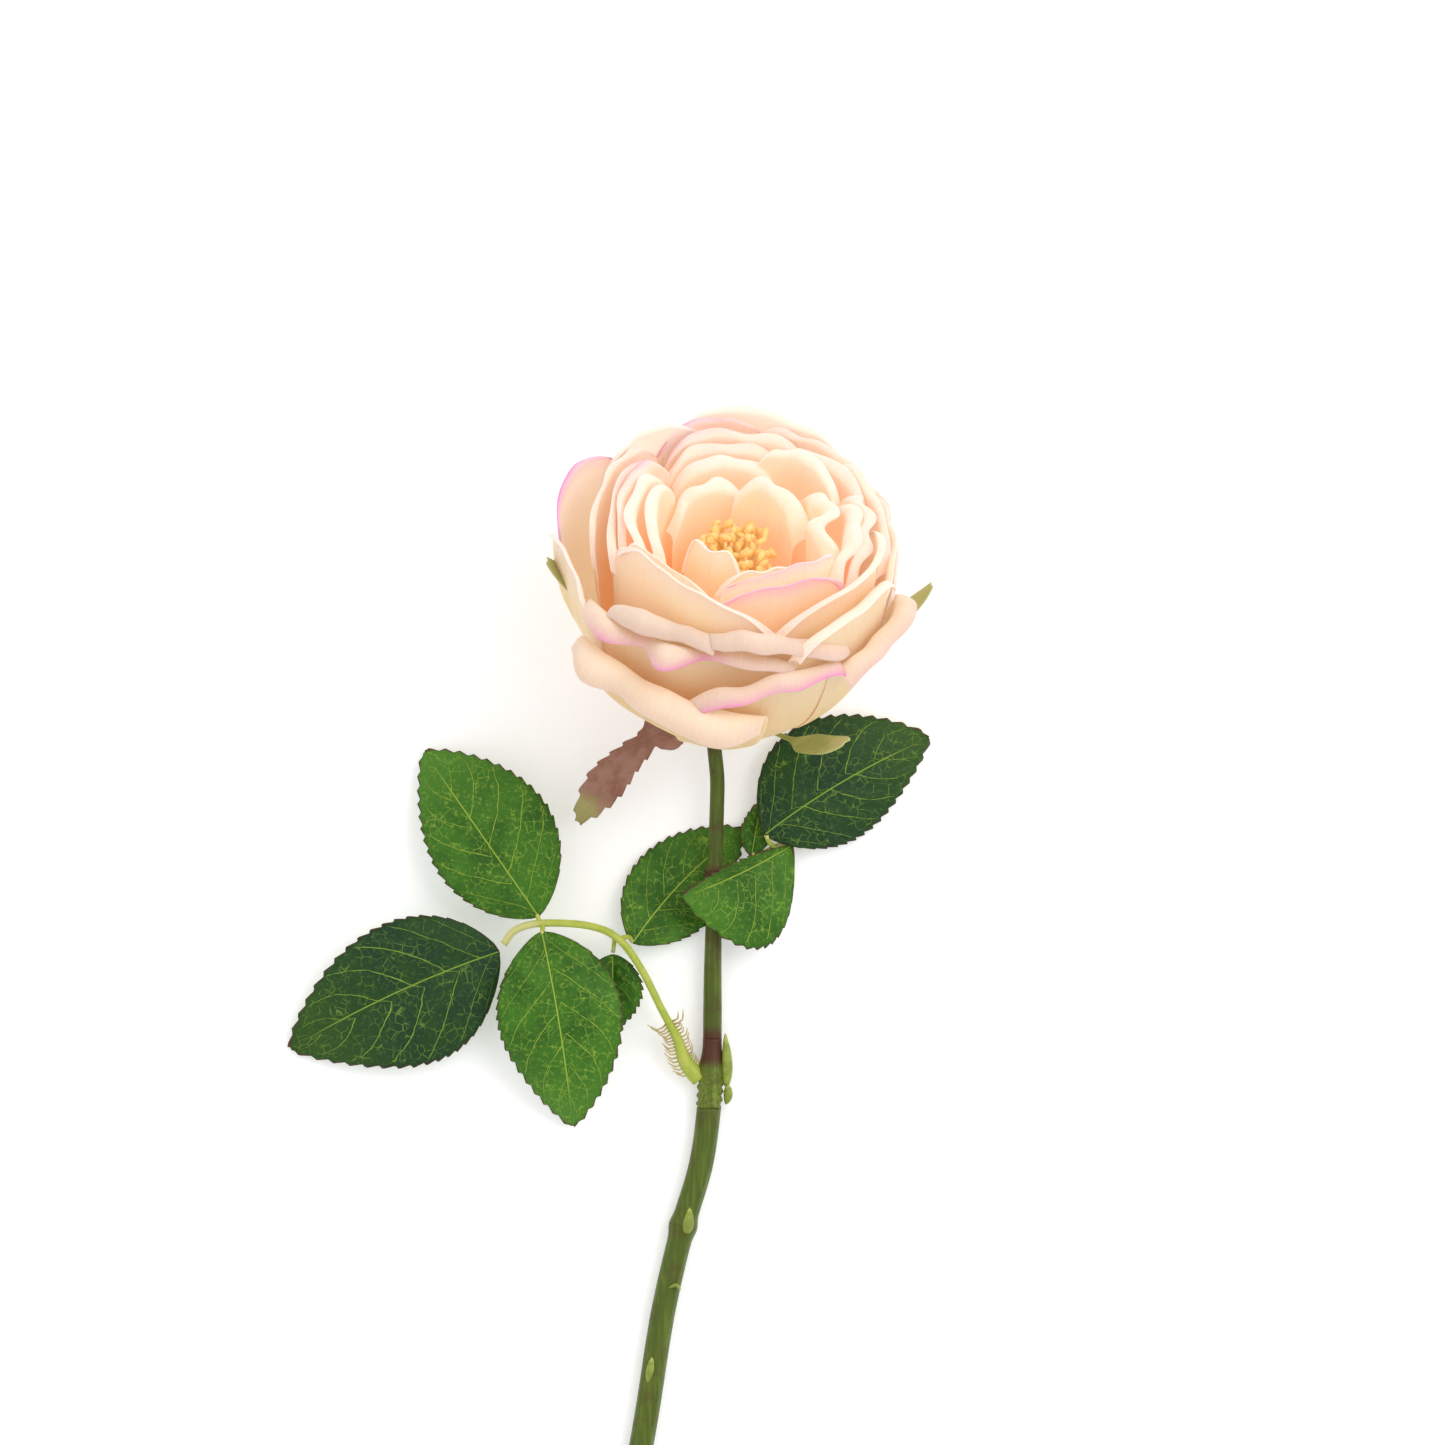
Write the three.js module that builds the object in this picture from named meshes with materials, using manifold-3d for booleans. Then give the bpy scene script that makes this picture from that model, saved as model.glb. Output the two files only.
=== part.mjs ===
// A cut garden rose lying on a table: one big cupped bloom on a bent neck, a jointed stem, and two
// sprays of leaflets. Millimetres, +Z up. The stem runs along -Y and the bloom is at the +Y end.
import * as THREE from 'three';
import { mergeVertices } from 'three/addons/utils/BufferGeometryUtils.js';
import Module from 'manifold-3d';

const wasm = await Module();
wasm.setup();

// ---- driving dimensions, in millimetres and degrees ----

const GAP = 0.3; // clearance between pieces that touch

// the bloom
const BLOOM_RADIUS = 50; // of the widest petals, from the bloom's axis
const BLOOM_HEIGHT = 80; // of the bowl that every petal is a piece of, before its rim is cut
const BLOOM_TILT = 45; // how far the bloom's axis rises from the table
const BLOOM_LEAN = 7; // how far it turns clockwise from +Y
const BLOOM_FOOT = new THREE.Vector3(-1.2, 8.3, 23.7); // the receptacle's foot
const PETAL_THICKNESS = 0.5;
const ROLL_ANGLE = 2.2; // how far a rolled lip turns, in radians
const BOWL_HEIGHT = 80; // of a petal's bowl in a bloom of the heights above
const PETAL_CLAW = 0.34; // width of a petal's foot, as a share of its full width

// the receptacle that the petals stand on, and the hip under it
const RECEPTACLE_FOOT_RADIUS = 8;
const RECEPTACLE_TIP_RADIUS = 1.8;
const RECEPTACLE_HEIGHT = 20;
const CLAW_CLEARANCE = 1.15; // from the receptacle to the middle of a petal's foot
const HIP_RADIUS = 6.5;
const HIP_LENGTH = 8;

// stamens
const STAMEN_COUNT = 22;
const STAMEN_TOP = 61; // height of the anthers above the bloom's foot
const STAMEN_SPREAD = 9.5; // radius of the ring that the anthers stand in
const FILAMENT_RADIUS = 0.55;
const ANTHER_RADIUS = 1.2;

// the stem
const STEM_RADIUS = 3.1;
const STEM_END = -261; // where the cut end lies, along Y
const NODE_SWELL = 0.8; // how far the upper node stands out from the stem
const SLEEVE_RADIUS = 4.3;

// leaves
const LEAF_THICKNESS = 0.6;
const LEAF_SCALE = 1; // size of every leaflet as seen from above, about its own foot
const TEETH_STEPS = 10; // steps along a leaflet, half of them on a tooth
const RACHIS_RADIUS = 1.1;
const SEPAL_THICKNESS = 0.8;
const STIPULE_TEETH = 14;
const STIPULE_TOOTH = 5; // length of the stipule's teeth

// ---- finishes ----

function finish(colour, roughness) {
  return new THREE.MeshStandardMaterial({ color: colour, roughness, metalness: 0 });
}

const COLOURS = {
  guard: '#E8D3BE',
  petal: '#F3CDB4',
  heart: '#F2B98C',
  stamen: '#E6B964',
  stem: '#5C7224',
  sleeve: '#6A4A2C',
  petiole: '#A9B24A',
  leaf: '#3F6E33',
  darkLeaf: '#2E4F2A',
  sepal: '#8C9447',
  drySepal: '#A07068',
};

// ---- shapes ----

const rose = new THREE.Group();

function radians(degrees) {
  return (degrees * Math.PI) / 180;
}

/** Leaves only the merged positions of a geometry, as the booleans need. */
function bare(geometry) {
  geometry.deleteAttribute('normal');
  geometry.deleteAttribute('uv');
  return mergeVertices(geometry, 1e-5);
}

/** Moves every vertex of a closed geometry to where the rule puts it. */
function reshape(geometry, rule) {
  const shaped = bare(geometry);
  const places = shaped.getAttribute('position');
  const point = new THREE.Vector3();
  for (let i = 0; i < places.count; i += 1) {
    const moved = rule(point.fromBufferAttribute(places, i).clone());
    places.setXYZ(i, moved.x, moved.y, moved.z);
  }
  return shaped;
}

/**
 * A closed slab that follows a surface. The surface gives a point for u from -1 to 1 across and v
 * from 0 to 1 along, and the slab's thickness is shared between its two sides.
 */
function slab(acrossCount, alongCount, thickness, surface) {
  const step = 1e-3;
  return reshape(new THREE.BoxGeometry(1, 1, 1, acrossCount, alongCount, 1), (p) => {
    const u = 2 * p.x;
    const v = p.y + 0.5;
    const du = surface(u + step, v).sub(surface(u - step, v));
    const dv = surface(u, Math.min(v + step, 1)).sub(surface(u, Math.max(v - step, 0)));
    const normal = du.cross(dv).normalize();
    return surface(u, v).addScaledVector(normal, p.z * thickness);
  });
}

/** A closed tube along a curve. The radius may change along it. */
function tube(curve, radiusAt, sides, steps) {
  const frames = curve.computeFrenetFrames(steps);
  return reshape(new THREE.CylinderGeometry(1, 1, 1, sides, steps), (p) => {
    const v = p.y + 0.5;
    const i = Math.round(v * steps);
    const radius = radiusAt(v);
    return curve
      .getPointAt(v)
      .addScaledVector(frames.normals[i], p.z * radius)
      .addScaledVector(frames.binormals[i], p.x * radius);
  });
}

function curveThrough(points) {
  return new THREE.CatmullRomCurve3(points.map((p) => new THREE.Vector3(...p)));
}

function toSolid(geometry) {
  const numbers = {
    numProp: 3,
    vertProperties: new Float32Array(geometry.getAttribute('position').array),
    triVerts: new Uint32Array(geometry.getIndex().array),
  };
  return new wasm.Manifold(new wasm.Mesh(numbers));
}

function toGeometry(solid) {
  const mesh = solid.getMesh();
  const geometry = new THREE.BufferGeometry();
  geometry.setAttribute('position', new THREE.BufferAttribute(mesh.vertProperties, 3));
  geometry.setIndex(new THREE.BufferAttribute(mesh.triVerts, 1));
  return geometry;
}

function joined(geometries) {
  const solids = geometries.map(toSolid);
  return toGeometry(solids.reduce((whole, next) => whole.add(next)));
}

function place(name, geometry, colour, roughness, parent = rose) {
  const mesh = new THREE.Mesh(geometry, finish(colour, roughness));
  mesh.name = name;
  parent.add(mesh);
}

/** The value at u from -1 to 1 of a smooth line through three values at -1, 0 and 1. */
function through([left, middle, right], u) {
  return middle + ((right - left) / 2) * u + ((right + left) / 2 - middle) * u * u;
}

// ---- the bloom, in its own frame: Z is its axis, and azimuth 0 is to its right ----

const bloom = new THREE.Group();
bloom.position.copy(BLOOM_FOOT);
bloom.rotation.order = 'ZXY';
bloom.rotation.z = -radians(BLOOM_LEAN);
bloom.rotation.x = -radians(90 - BLOOM_TILT);
rose.add(bloom);

/** A point at an azimuth, a distance from the bloom's axis and a height above its foot. */
function aroundBloom(azimuth, radius, height) {
  const turn = radians(azimuth);
  return new THREE.Vector3(radius * Math.cos(turn), radius * Math.sin(turn), height);
}

/** Where a petal is rooted on the receptacle: the wider it opens, the lower it is. */
function rootOf(openness) {
  const height = RECEPTACLE_HEIGHT * (1 - 0.8 * openness);
  const share = height / RECEPTACLE_HEIGHT;
  const core = THREE.MathUtils.lerp(RECEPTACLE_FOOT_RADIUS, RECEPTACLE_TIP_RADIUS, share);
  return { radius: core + CLAW_CLEARANCE, height };
}

/**
 * The bowl that a petal is a piece of, as a curve of radius and height. Bowls of different radii
 * nest and never cross, so petals clear each other wherever their rims are cut.
 */
function bowl(radius, rootRadius) {
  const root = rootOf(rootRadius / 55);
  return new THREE.CubicBezierCurve(
    new THREE.Vector2(root.radius, root.height),
    new THREE.Vector2(radius * 0.98, root.height - 1.5),
    new THREE.Vector2(radius + 2.5, root.height + 36),
    new THREE.Vector2(radius, BOWL_HEIGHT),
  );
}

/** The share of a bowl's curve at which it reaches a height. */
function shareAtHeight(curve, height) {
  let low = 0.2;
  let high = 1;
  for (let i = 0; i < 24; i += 1) {
    const middle = (low + high) / 2;
    if (curve.getPoint(middle).y < height) low = middle;
    else high = middle;
  }
  return low;
}

/**
 * A petal's surface. It rises from the receptacle along its bowl, spreads to its full width halfway
 * up, and ends in a rim that may roll outwards and ripple. Radii and heights are given at the rim's
 * left, middle and right.
 */
function petalSurface({ azimuth, halfWidth, radii, heights, roll = 0, wave = 0, waves = 3 }) {
  const widen = BLOOM_RADIUS / 50;
  const raise = BLOOM_HEIGHT / 80;
  const bodyShare = roll > 0 ? 0.78 : 1;
  return (u, v) => {
    const curve = bowl(through(radii, u), radii[1]);
    const rimHeight = through(heights, u) * (1 - 0.1 * Math.abs(u) ** 4);
    const body = Math.min(v / bodyShare, 1);
    const at = curve.getPoint(body * shareAtHeight(curve, rimHeight));
    const rolled = (Math.max(0, v - bodyShare) / (1 - bodyShare + 1e-9)) * ROLL_ANGLE;
    const lip = roll * (1 - 0.35 * u * u);
    const ripple = wave * Math.sin(waves * Math.PI * u) * v ** 4;
    const spread = THREE.MathUtils.lerp(PETAL_CLAW, 1, THREE.MathUtils.smoothstep(body, 0, 0.55));
    const rounding = 1 - 0.12 * THREE.MathUtils.smoothstep(v, 0.7, 1);
    return aroundBloom(
      azimuth + u * halfWidth * spread * rounding,
      (at.x + lip * (1 - Math.cos(rolled)) + ripple) * widen,
      (at.y + lip * Math.sin(rolled)) * raise,
    );
  };
}

// Each petal: its azimuth and half its width in degrees, then rim radii and rim heights at its left,
// middle and right, and the radius of its rolled lip. Petals go round the bloom from outside to inside.
const GUARD_PETALS = [
  { azimuth: -112, halfWidth: 42, radii: [55, 56, 56], heights: [37, 31, 27], roll: 2.2 },
  { azimuth: -66, halfWidth: 42, radii: [51, 49.6, 48.9], heights: [33, 42, 46], roll: 2 },
  { azimuth: -12, halfWidth: 34, radii: [53.4, 51.6, 51], heights: [50, 44, 44], roll: 1.6 },
  { azimuth: 30, halfWidth: 38, radii: [48, 48, 48], heights: [52, 58, 60] },
  { azimuth: 84, halfWidth: 40, radii: [50.2, 50.2, 50], heights: [61, 65, 64], wave: 0.4 },
  { azimuth: 120, halfWidth: 34, radii: [47.5, 47.5, 47.4], heights: [64, 66, 65] },
  { azimuth: 154, halfWidth: 32, radii: [51.6, 54.5, 46.1], heights: [62, 60, 50] },
  { azimuth: -158, halfWidth: 26, radii: [54, 50.4, 50.4], heights: [57, 54, 43] },
];
const SECOND_PETALS = [
  { azimuth: -108, halfWidth: 42, radii: [46.2, 46.1, 45.6], heights: [47, 50, 51], roll: 1.8, wave: 0.4 },
  { azimuth: -33, halfWidth: 35, radii: [47.8, 46.6, 45.8], heights: [60, 66, 63] },
  { azimuth: 14, halfWidth: 34, radii: [43.8, 43.7, 43.7], heights: [60, 60, 60] },
  { azimuth: 58, halfWidth: 36, radii: [45.3, 45.5, 45.4], heights: [58, 62, 64] },
  { azimuth: 104, halfWidth: 36, radii: [43.5, 43.4, 43], heights: [62, 65, 64] },
  { azimuth: 156, halfWidth: 36, radii: [45.3, 45, 43.6], heights: [64, 61, 56] },
  { azimuth: -122, halfWidth: 28, radii: [42.4, 42.2, 42], heights: [56, 60, 61], roll: 1.7 },
  { azimuth: -66, halfWidth: 32, radii: [43.7, 43.5, 43.1], heights: [60, 60, 57], roll: 2 },
];
const THIRD_PETALS = [
  { azimuth: 160, halfWidth: 42, radii: [41.2, 40.6, 36.6], heights: [65, 64, 61] },
  { azimuth: -117, halfWidth: 46, radii: [31.8, 36, 38], heights: [70, 75, 66] },
  { azimuth: -38, halfWidth: 44, radii: [40.6, 40.5, 38.5], heights: [64, 74, 70] },
  { azimuth: 28, halfWidth: 34, radii: [41.3, 41.2, 41.2], heights: [62, 63, 63] },
  { azimuth: 92, halfWidth: 38, radii: [39.2, 39.2, 39], heights: [62, 63, 62] },
];
const FOURTH_PETALS = [
  { azimuth: 164, halfWidth: 34, radii: [37, 35.9, 34.3], heights: [64, 65, 62] },
  { azimuth: -64, halfWidth: 40, radii: [30, 33.9, 36.1], heights: [63, 76, 69] },
  { azimuth: 6, halfWidth: 34, radii: [34, 34.3, 34.3], heights: [66, 66, 66] },
  { azimuth: 52, halfWidth: 30, radii: [37.2, 37.2, 37.2], heights: [63, 64, 63] },
  { azimuth: 100, halfWidth: 36, radii: [35.2, 35.2, 34.8], heights: [61, 62, 62] },
];
const FIFTH_PETALS = [
  { azimuth: -130, halfWidth: 38, radii: [30.2, 29, 24.8], heights: [67, 70, 64] },
  { azimuth: 172, halfWidth: 36, radii: [31.6, 30.5, 27.2], heights: [66, 66, 66] },
  { azimuth: -56, halfWidth: 38, radii: [27, 29.5, 31.4], heights: [62, 71, 66] },
  { azimuth: 2, halfWidth: 34, radii: [28.4, 29.3, 30], heights: [65, 66, 66], wave: 0.7 },
  { azimuth: 104, halfWidth: 38, radii: [29, 29.4, 29], heights: [60, 61, 60] },
  { azimuth: 62, halfWidth: 28, radii: [32.2, 32.2, 32.2], heights: [64, 66, 64], wave: 0.6 },
];
const HEART_PETALS = [
  { azimuth: 176, halfWidth: 42, radii: [24.6, 22.6, 22.6], heights: [66, 67, 65] },
  { azimuth: 18, halfWidth: 28, radii: [22, 22.5, 22], heights: [66, 67, 66], wave: 0.8 },
  { azimuth: -128, halfWidth: 46, radii: [14, 15.2, 15.2], heights: [66, 69, 61] },
  { azimuth: -62, halfWidth: 34, radii: [18.5, 19, 19], heights: [60, 63, 62] },
  { azimuth: 112, halfWidth: 40, radii: [20.2, 20.2, 20.2], heights: [54, 55, 54] },
  { azimuth: 66, halfWidth: 38, radii: [13.5, 13.5, 13.5], heights: [63, 66, 63] },
];

const WHORLS = [
  { name: 'guard', petals: GUARD_PETALS, colour: COLOURS.guard },
  { name: 'second', petals: SECOND_PETALS, colour: COLOURS.petal },
  { name: 'third', petals: THIRD_PETALS, colour: COLOURS.petal },
  { name: 'fourth', petals: FOURTH_PETALS, colour: COLOURS.petal },
  { name: 'fifth', petals: FIFTH_PETALS, colour: COLOURS.heart },
  { name: 'heart', petals: HEART_PETALS, colour: COLOURS.heart },
];

for (const { name, petals, colour } of WHORLS) {
  petals.forEach((petal, index) => {
    const alongCount = petal.roll ? 7 : 5;
    const shape = slab(6, alongCount, PETAL_THICKNESS, petalSurface(petal));
    place(`${name}_petal_${index + 1}`, shape, colour, 0.6, bloom);
  });
}

// the receptacle and the hip below it, turned as one
const receptacleProfile = [
  [0, -HIP_LENGTH],
  [STEM_RADIUS + 0.4, -HIP_LENGTH],
  [HIP_RADIUS, -HIP_LENGTH * 0.45],
  [HIP_RADIUS, -1],
  [RECEPTACLE_FOOT_RADIUS, 1.5],
  [RECEPTACLE_FOOT_RADIUS, 2.5],
  [RECEPTACLE_TIP_RADIUS, RECEPTACLE_HEIGHT],
  [0, RECEPTACLE_HEIGHT],
].map(([radius, height]) => new THREE.Vector2(radius, height));
const receptacle = new THREE.LatheGeometry(receptacleProfile, 16);
receptacle.rotateX(Math.PI / 2);
place('receptacle', bare(receptacle), COLOURS.sepal, 0.6, bloom);

/** A sepal pressed against the back of the bloom, on a bowl outside the petals' own. */
function sepalSurface({ azimuth, bowlRadius, height, halfWidth }) {
  const curve = new THREE.CubicBezierCurve(
    new THREE.Vector2(HIP_RADIUS + 2.2, -1.2),
    new THREE.Vector2(bowlRadius * 0.98, -3),
    new THREE.Vector2(bowlRadius + 2.5, 35),
    new THREE.Vector2(bowlRadius, BOWL_HEIGHT),
  );
  const end = shareAtHeight(curve, height);
  const widen = BLOOM_RADIUS / 50;
  const raise = BLOOM_HEIGHT / 80;
  return (u, v) => {
    const at = curve.getPoint(v * end);
    const width = halfWidth * (0.45 + 0.55 * Math.sin(Math.PI * (0.15 + 0.7 * v))) * (1 - 0.75 * v ** 5);
    const turn = THREE.MathUtils.radToDeg(width / at.x);
    return aroundBloom(azimuth + u * turn, at.x * widen, at.y * raise);
  };
}

// Four sepals hug the bloom. The fifth hangs free, and is made with the leaves.
const PRESSED_SEPALS = [
  { azimuth: -37, bowlRadius: 58.5, height: 14, halfWidth: 5.5 },
  { azimuth: 16, bowlRadius: 58, height: 42, halfWidth: 4.6 },
  { azimuth: 92, bowlRadius: 56, height: 20, halfWidth: 5.5 },
  { azimuth: 171, bowlRadius: 58, height: 34, halfWidth: 6 },
];
PRESSED_SEPALS.forEach((sepal, index) => {
  place(`sepal_${index + 1}`, slab(3, 7, SEPAL_THICKNESS, sepalSurface(sepal)), COLOURS.sepal, 0.6, bloom);
});

// stamens: a column on the receptacle that fans out into filaments with anthers
function stamenCluster() {
  const foot = RECEPTACLE_HEIGHT + GAP;
  const split = STAMEN_TOP - 20;
  const profile = [
    [0, foot],
    [1.6, foot],
    [1.6, split - 4],
    [4, split],
    [4, split + 2.5],
    [0, split + 4],
  ].map(([radius, height]) => new THREE.Vector2(radius, height));
  const column = new THREE.LatheGeometry(profile, 10);
  column.rotateX(Math.PI / 2);
  const pieces = [bare(column)];
  const goldenAngle = 137.5;
  for (let i = 0; i < STAMEN_COUNT; i += 1) {
    const share = Math.sqrt((i + 0.5) / STAMEN_COUNT);
    const azimuth = i * goldenAngle;
    const top = STAMEN_TOP - 3 * share * share - 1.5 * (i % 3);
    const from = aroundBloom(azimuth, 2.8 * share, split + 1);
    const to = aroundBloom(azimuth, STAMEN_SPREAD * share, top);
    const middle = from.clone().lerp(to, 0.5).add(aroundBloom(azimuth, -0.8 * share, 0));
    const filament = new THREE.QuadraticBezierCurve3(from, middle, to);
    pieces.push(tube(filament, () => FILAMENT_RADIUS, 5, 2));
    const anther = new THREE.IcosahedronGeometry(ANTHER_RADIUS, 0);
    anther.scale(1, 0.8, 0.8);
    anther.rotateZ(radians(azimuth + 40 * i));
    anther.translate(to.x, to.y, to.z);
    pieces.push(bare(anther));
  }
  return joined(pieces);
}
place('stamens', stamenCluster(), COLOURS.stamen, 0.6, bloom);

// ---- leaf-like blades: leaflets and sepals ----

/**
 * A blade along a bowed midrib. Each half has its own greatest width and its own fold, in degrees above
 * the midrib, and its edge steps in and out for the teeth.
 */
function bladeSurface({ foot, tip, bow = [0, 0, 0], left, right, folds = [12, 12], peak = 0.42, teeth = 0 }) {
  const start = new THREE.Vector3(...foot);
  const fromAbove = new THREE.Vector3(LEAF_SCALE, LEAF_SCALE, 1);
  const end = start.clone().add(new THREE.Vector3(...tip).sub(start).multiply(fromAbove));
  const middle = start.clone().lerp(end, 0.5).add(new THREE.Vector3(...bow));
  const midrib = new THREE.QuadraticBezierCurve3(start, middle, end);
  const up = new THREE.Vector3(0, 0, 1);
  const power = Math.log(0.5) / Math.log(peak);
  return (u, v) => {
    const along = midrib.getTangent(v);
    const side = along.clone().cross(up).normalize();
    const lift = side.clone().cross(along).normalize();
    const fold = radians(u < 0 ? folds[0] : folds[1]);
    const full = u < 0 ? left : right;
    const notch = 1 + teeth * Math.cos(Math.PI * TEETH_STEPS * v);
    const width = 0.5 + full * Math.sin(Math.PI * v ** power) ** 0.8 * notch;
    return midrib
      .getPoint(v)
      .addScaledVector(side, u * width * LEAF_SCALE * Math.cos(fold))
      .addScaledVector(lift, Math.abs(u) * width * Math.sin(fold));
  };
}

function leaflet(name, shape, colour) {
  const surface = bladeSurface({ teeth: 0.05, ...shape });
  place(name, slab(4, TEETH_STEPS, LEAF_THICKNESS, surface), colour, 0.45);
}

// ---- the stem: a bent neck under the hip, then jointed lengths along the table ----

const axis = new THREE.Vector3(0, 0, 1).applyEuler(bloom.rotation);
const neckTop = BLOOM_FOOT.clone().addScaledVector(axis, -HIP_LENGTH - GAP);
const neckBend = neckTop.clone().addScaledVector(axis, -10);

// where the stem's underside passes: along X, along Y, and how high above the table
const STEM_UNDERSIDE = [
  [-1.5, -16, 5.3],
  [-2.2, -43, 4.9],
  [-2.8, -70, 2.3],
  [-3.2, -100, 1.3],
  [-6.2, -125, 1],
  [-12.4, -145, 1],
  [-17.5, -170, 1],
  [-22, -200, 1],
  [-27.5, -230, 1],
  [-34, STEM_END, 1],
];
const stemRoute = curveThrough([
  neckTop.toArray(),
  neckBend.toArray(),
  ...STEM_UNDERSIDE.map(([x, y, height]) => [x, y, height + STEM_RADIUS]),
]);

/** The share of the stem's length at which it passes a place along Y. */
function shareAt(y) {
  let low = 0;
  let high = 1;
  for (let i = 0; i < 40; i += 1) {
    const middle = (low + high) / 2;
    if (stemRoute.getPointAt(middle).y > y) low = middle;
    else high = middle;
  }
  return low;
}

/** One length of the stem between two places along Y, with swellings given as [y, extra radius]. */
function stemLength(fromY, toY, radius, swellings, sides, steps) {
  const first = fromY === null ? 0 : shareAt(fromY);
  const last = shareAt(toY);
  const stretch = new THREE.Curve();
  stretch.getPoint = (t) => stemRoute.getPointAt(THREE.MathUtils.lerp(first, last, t));
  const radiusAt = (v) => {
    const { y } = stretch.getPointAt(v);
    const extra = swellings.reduce((sum, [at, size]) => sum + size * Math.exp(-(((y - at) / 3) ** 2)), 0);
    return radius + extra;
  };
  return tube(stretch, radiusAt, sides, steps);
}

const UPPER_NODE = -43.5;
const SLEEVE_TOP = -91;
const SLEEVE_FOOT = -111;
const LOWER_JOINT = -145;

place(
  'stem_upper',
  stemLength(null, SLEEVE_TOP + GAP, STEM_RADIUS, [[UPPER_NODE, NODE_SWELL]], 10, 24),
  COLOURS.stem,
  0.5,
);
place('stem_sleeve', stemLength(SLEEVE_TOP, SLEEVE_FOOT, SLEEVE_RADIUS, [], 12, 5), COLOURS.sleeve, 0.5);
place(
  'stem_middle',
  stemLength(SLEEVE_FOOT - GAP, LOWER_JOINT, STEM_RADIUS + 0.1, [[LOWER_JOINT, 0.5]], 10, 10),
  COLOURS.stem,
  0.5,
);
place(
  'stem_lower',
  stemLength(LOWER_JOINT - GAP, STEM_END, STEM_RADIUS + 0.1, [[LOWER_JOINT, 0.7]], 10, 18),
  COLOURS.stem,
  0.5,
);

// the hanging sepal, under the lowest petal
const hangingSepal = { foot: [-9.4, 3, 22.4], tip: [-41.5, -28.4, 9], bow: [-2, 6, 5], left: 5, right: 5, peak: 0.5 };
place('sepal_5', slab(3, 8, SEPAL_THICKNESS, bladeSurface(hangingSepal)), COLOURS.drySepal, 0.7);

// ---- the left spray: a petiole with a fringed stipule, and five leaflets ----

const LEFT_RACHIS = [
  [-11.3, -96.5, 5],
  [-13.2, -90.5, 7],
  [-17.2, -83, 9.5],
  [-23.5, -70.5, 12],
  [-30, -62, 13.5],
  [-38.5, -58.3, 14],
  [-52, -57.6, 13.5],
  [-59.5, -59.6, 12.5],
  [-62.8, -63.6, 11.8],
];

/** A comb of soft teeth along one side of the petiole's foot. */
function stipule(side, toothLength) {
  const rachis = curveThrough(LEFT_RACHIS);
  const surface = (u, v) => {
    const t = THREE.MathUtils.lerp(0.0, 0.24, v);
    const along = rachis.getTangentAt(t);
    const across = new THREE.Vector3(along.y, -along.x, 0).normalize().multiplyScalar(side);
    const tooth = 1.2 + toothLength * Math.abs(Math.cos((Math.PI * STIPULE_TEETH * v) / 2));
    const reach = ((u * side + 1) / 2) * tooth + 0.2;
    return rachis.getPointAt(t).addScaledVector(across, reach).add(new THREE.Vector3(0, 0, 0.25 * reach));
  };
  return slab(2, STIPULE_TEETH, 0.7, surface);
}

place(
  'left_petiole',
  joined([
    tube(curveThrough(LEFT_RACHIS), (v) => RACHIS_RADIUS + 1.3 * Math.exp(-((v / 0.12) ** 2)), 8, 22),
    stipule(1, STIPULE_TOOTH / 2),
    stipule(-1, STIPULE_TOOTH),
  ]),
  COLOURS.petiole,
  0.5,
);

leaflet('left_leaflet_upper', { foot: [-52.8, -55.6, 13.2], tip: [-85.9, -8.7, 3], bow: [-1, 2, 9], left: 16, right: 20, folds: [-4, 8] }, COLOURS.leaf);
leaflet('left_leaflet_end', { foot: [-64.2, -65.8, 11.2], tip: [-124.4, -93.9, 2], bow: [0, 4, 8], left: 22.5, right: 19, folds: [-6, 6] }, COLOURS.darkLeaf);
leaflet('left_leaflet_lower', { foot: [-51.8, -60, 15.6], tip: [-43.2, -116.1, 3], bow: [2, 0, 16], left: 18, right: 17, folds: [-4, -6] }, COLOURS.leaf);
leaflet('left_leaflet_small', { foot: [-31.6, -66.8, 9.2], tip: [-33, -89, 4], bow: [1, 0, 1], left: 8.5, right: 9.5 }, COLOURS.leaf);
leaflet('left_leaflet_right', { foot: [-25.8, -63.4, 8], tip: [6, -31, 0.8], bow: [-3, 3, -5.9], left: 13, right: 13, folds: [0, 0] }, COLOURS.leaf);

// ---- the right spray, behind the upper node ----

const RIGHT_RACHIS = [
  [2.8, -44.4, 5],
  [7, -42, 2.8],
  [12, -38, 2.3],
  [18, -34.8, 3.4],
];
place('right_rachis', tube(curveThrough(RIGHT_RACHIS), () => RACHIS_RADIUS, 6, 8), COLOURS.petiole, 0.5);
leaflet('right_leaflet_big', { foot: [12.2, -32.2, 7.4], tip: [59.5, -4.5, 1.4], bow: [-2, 3, 5.5], left: 20, right: 16, folds: [-6, -12] }, COLOURS.darkLeaf);
leaflet('right_leaflet_front', { foot: [19.8, -35.4, 5], tip: [-11.3, -50, 13.6], bow: [0, -2, 7.4], left: 20, right: 3, folds: [-8, 0] }, COLOURS.leaf);
leaflet('right_leaflet_small', { foot: [8.4, -38.4, 4.4], tip: [11, -23, 1.6], left: 4, right: 4 }, COLOURS.leaf);

const bounds = new THREE.Box3().setFromObject(rose, true);
const middle = bounds.getCenter(new THREE.Vector3());
rose.position.set(-middle.x, -middle.y, -bounds.min.z);

export default rose;
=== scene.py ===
"""The looks of a cut garden rose that lies on a table: petals, stamens, sepals, stem and leaflets."""

import logging
import math
from dataclasses import dataclass, field
from enum import Enum
from typing import Callable, Optional, Union

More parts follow.
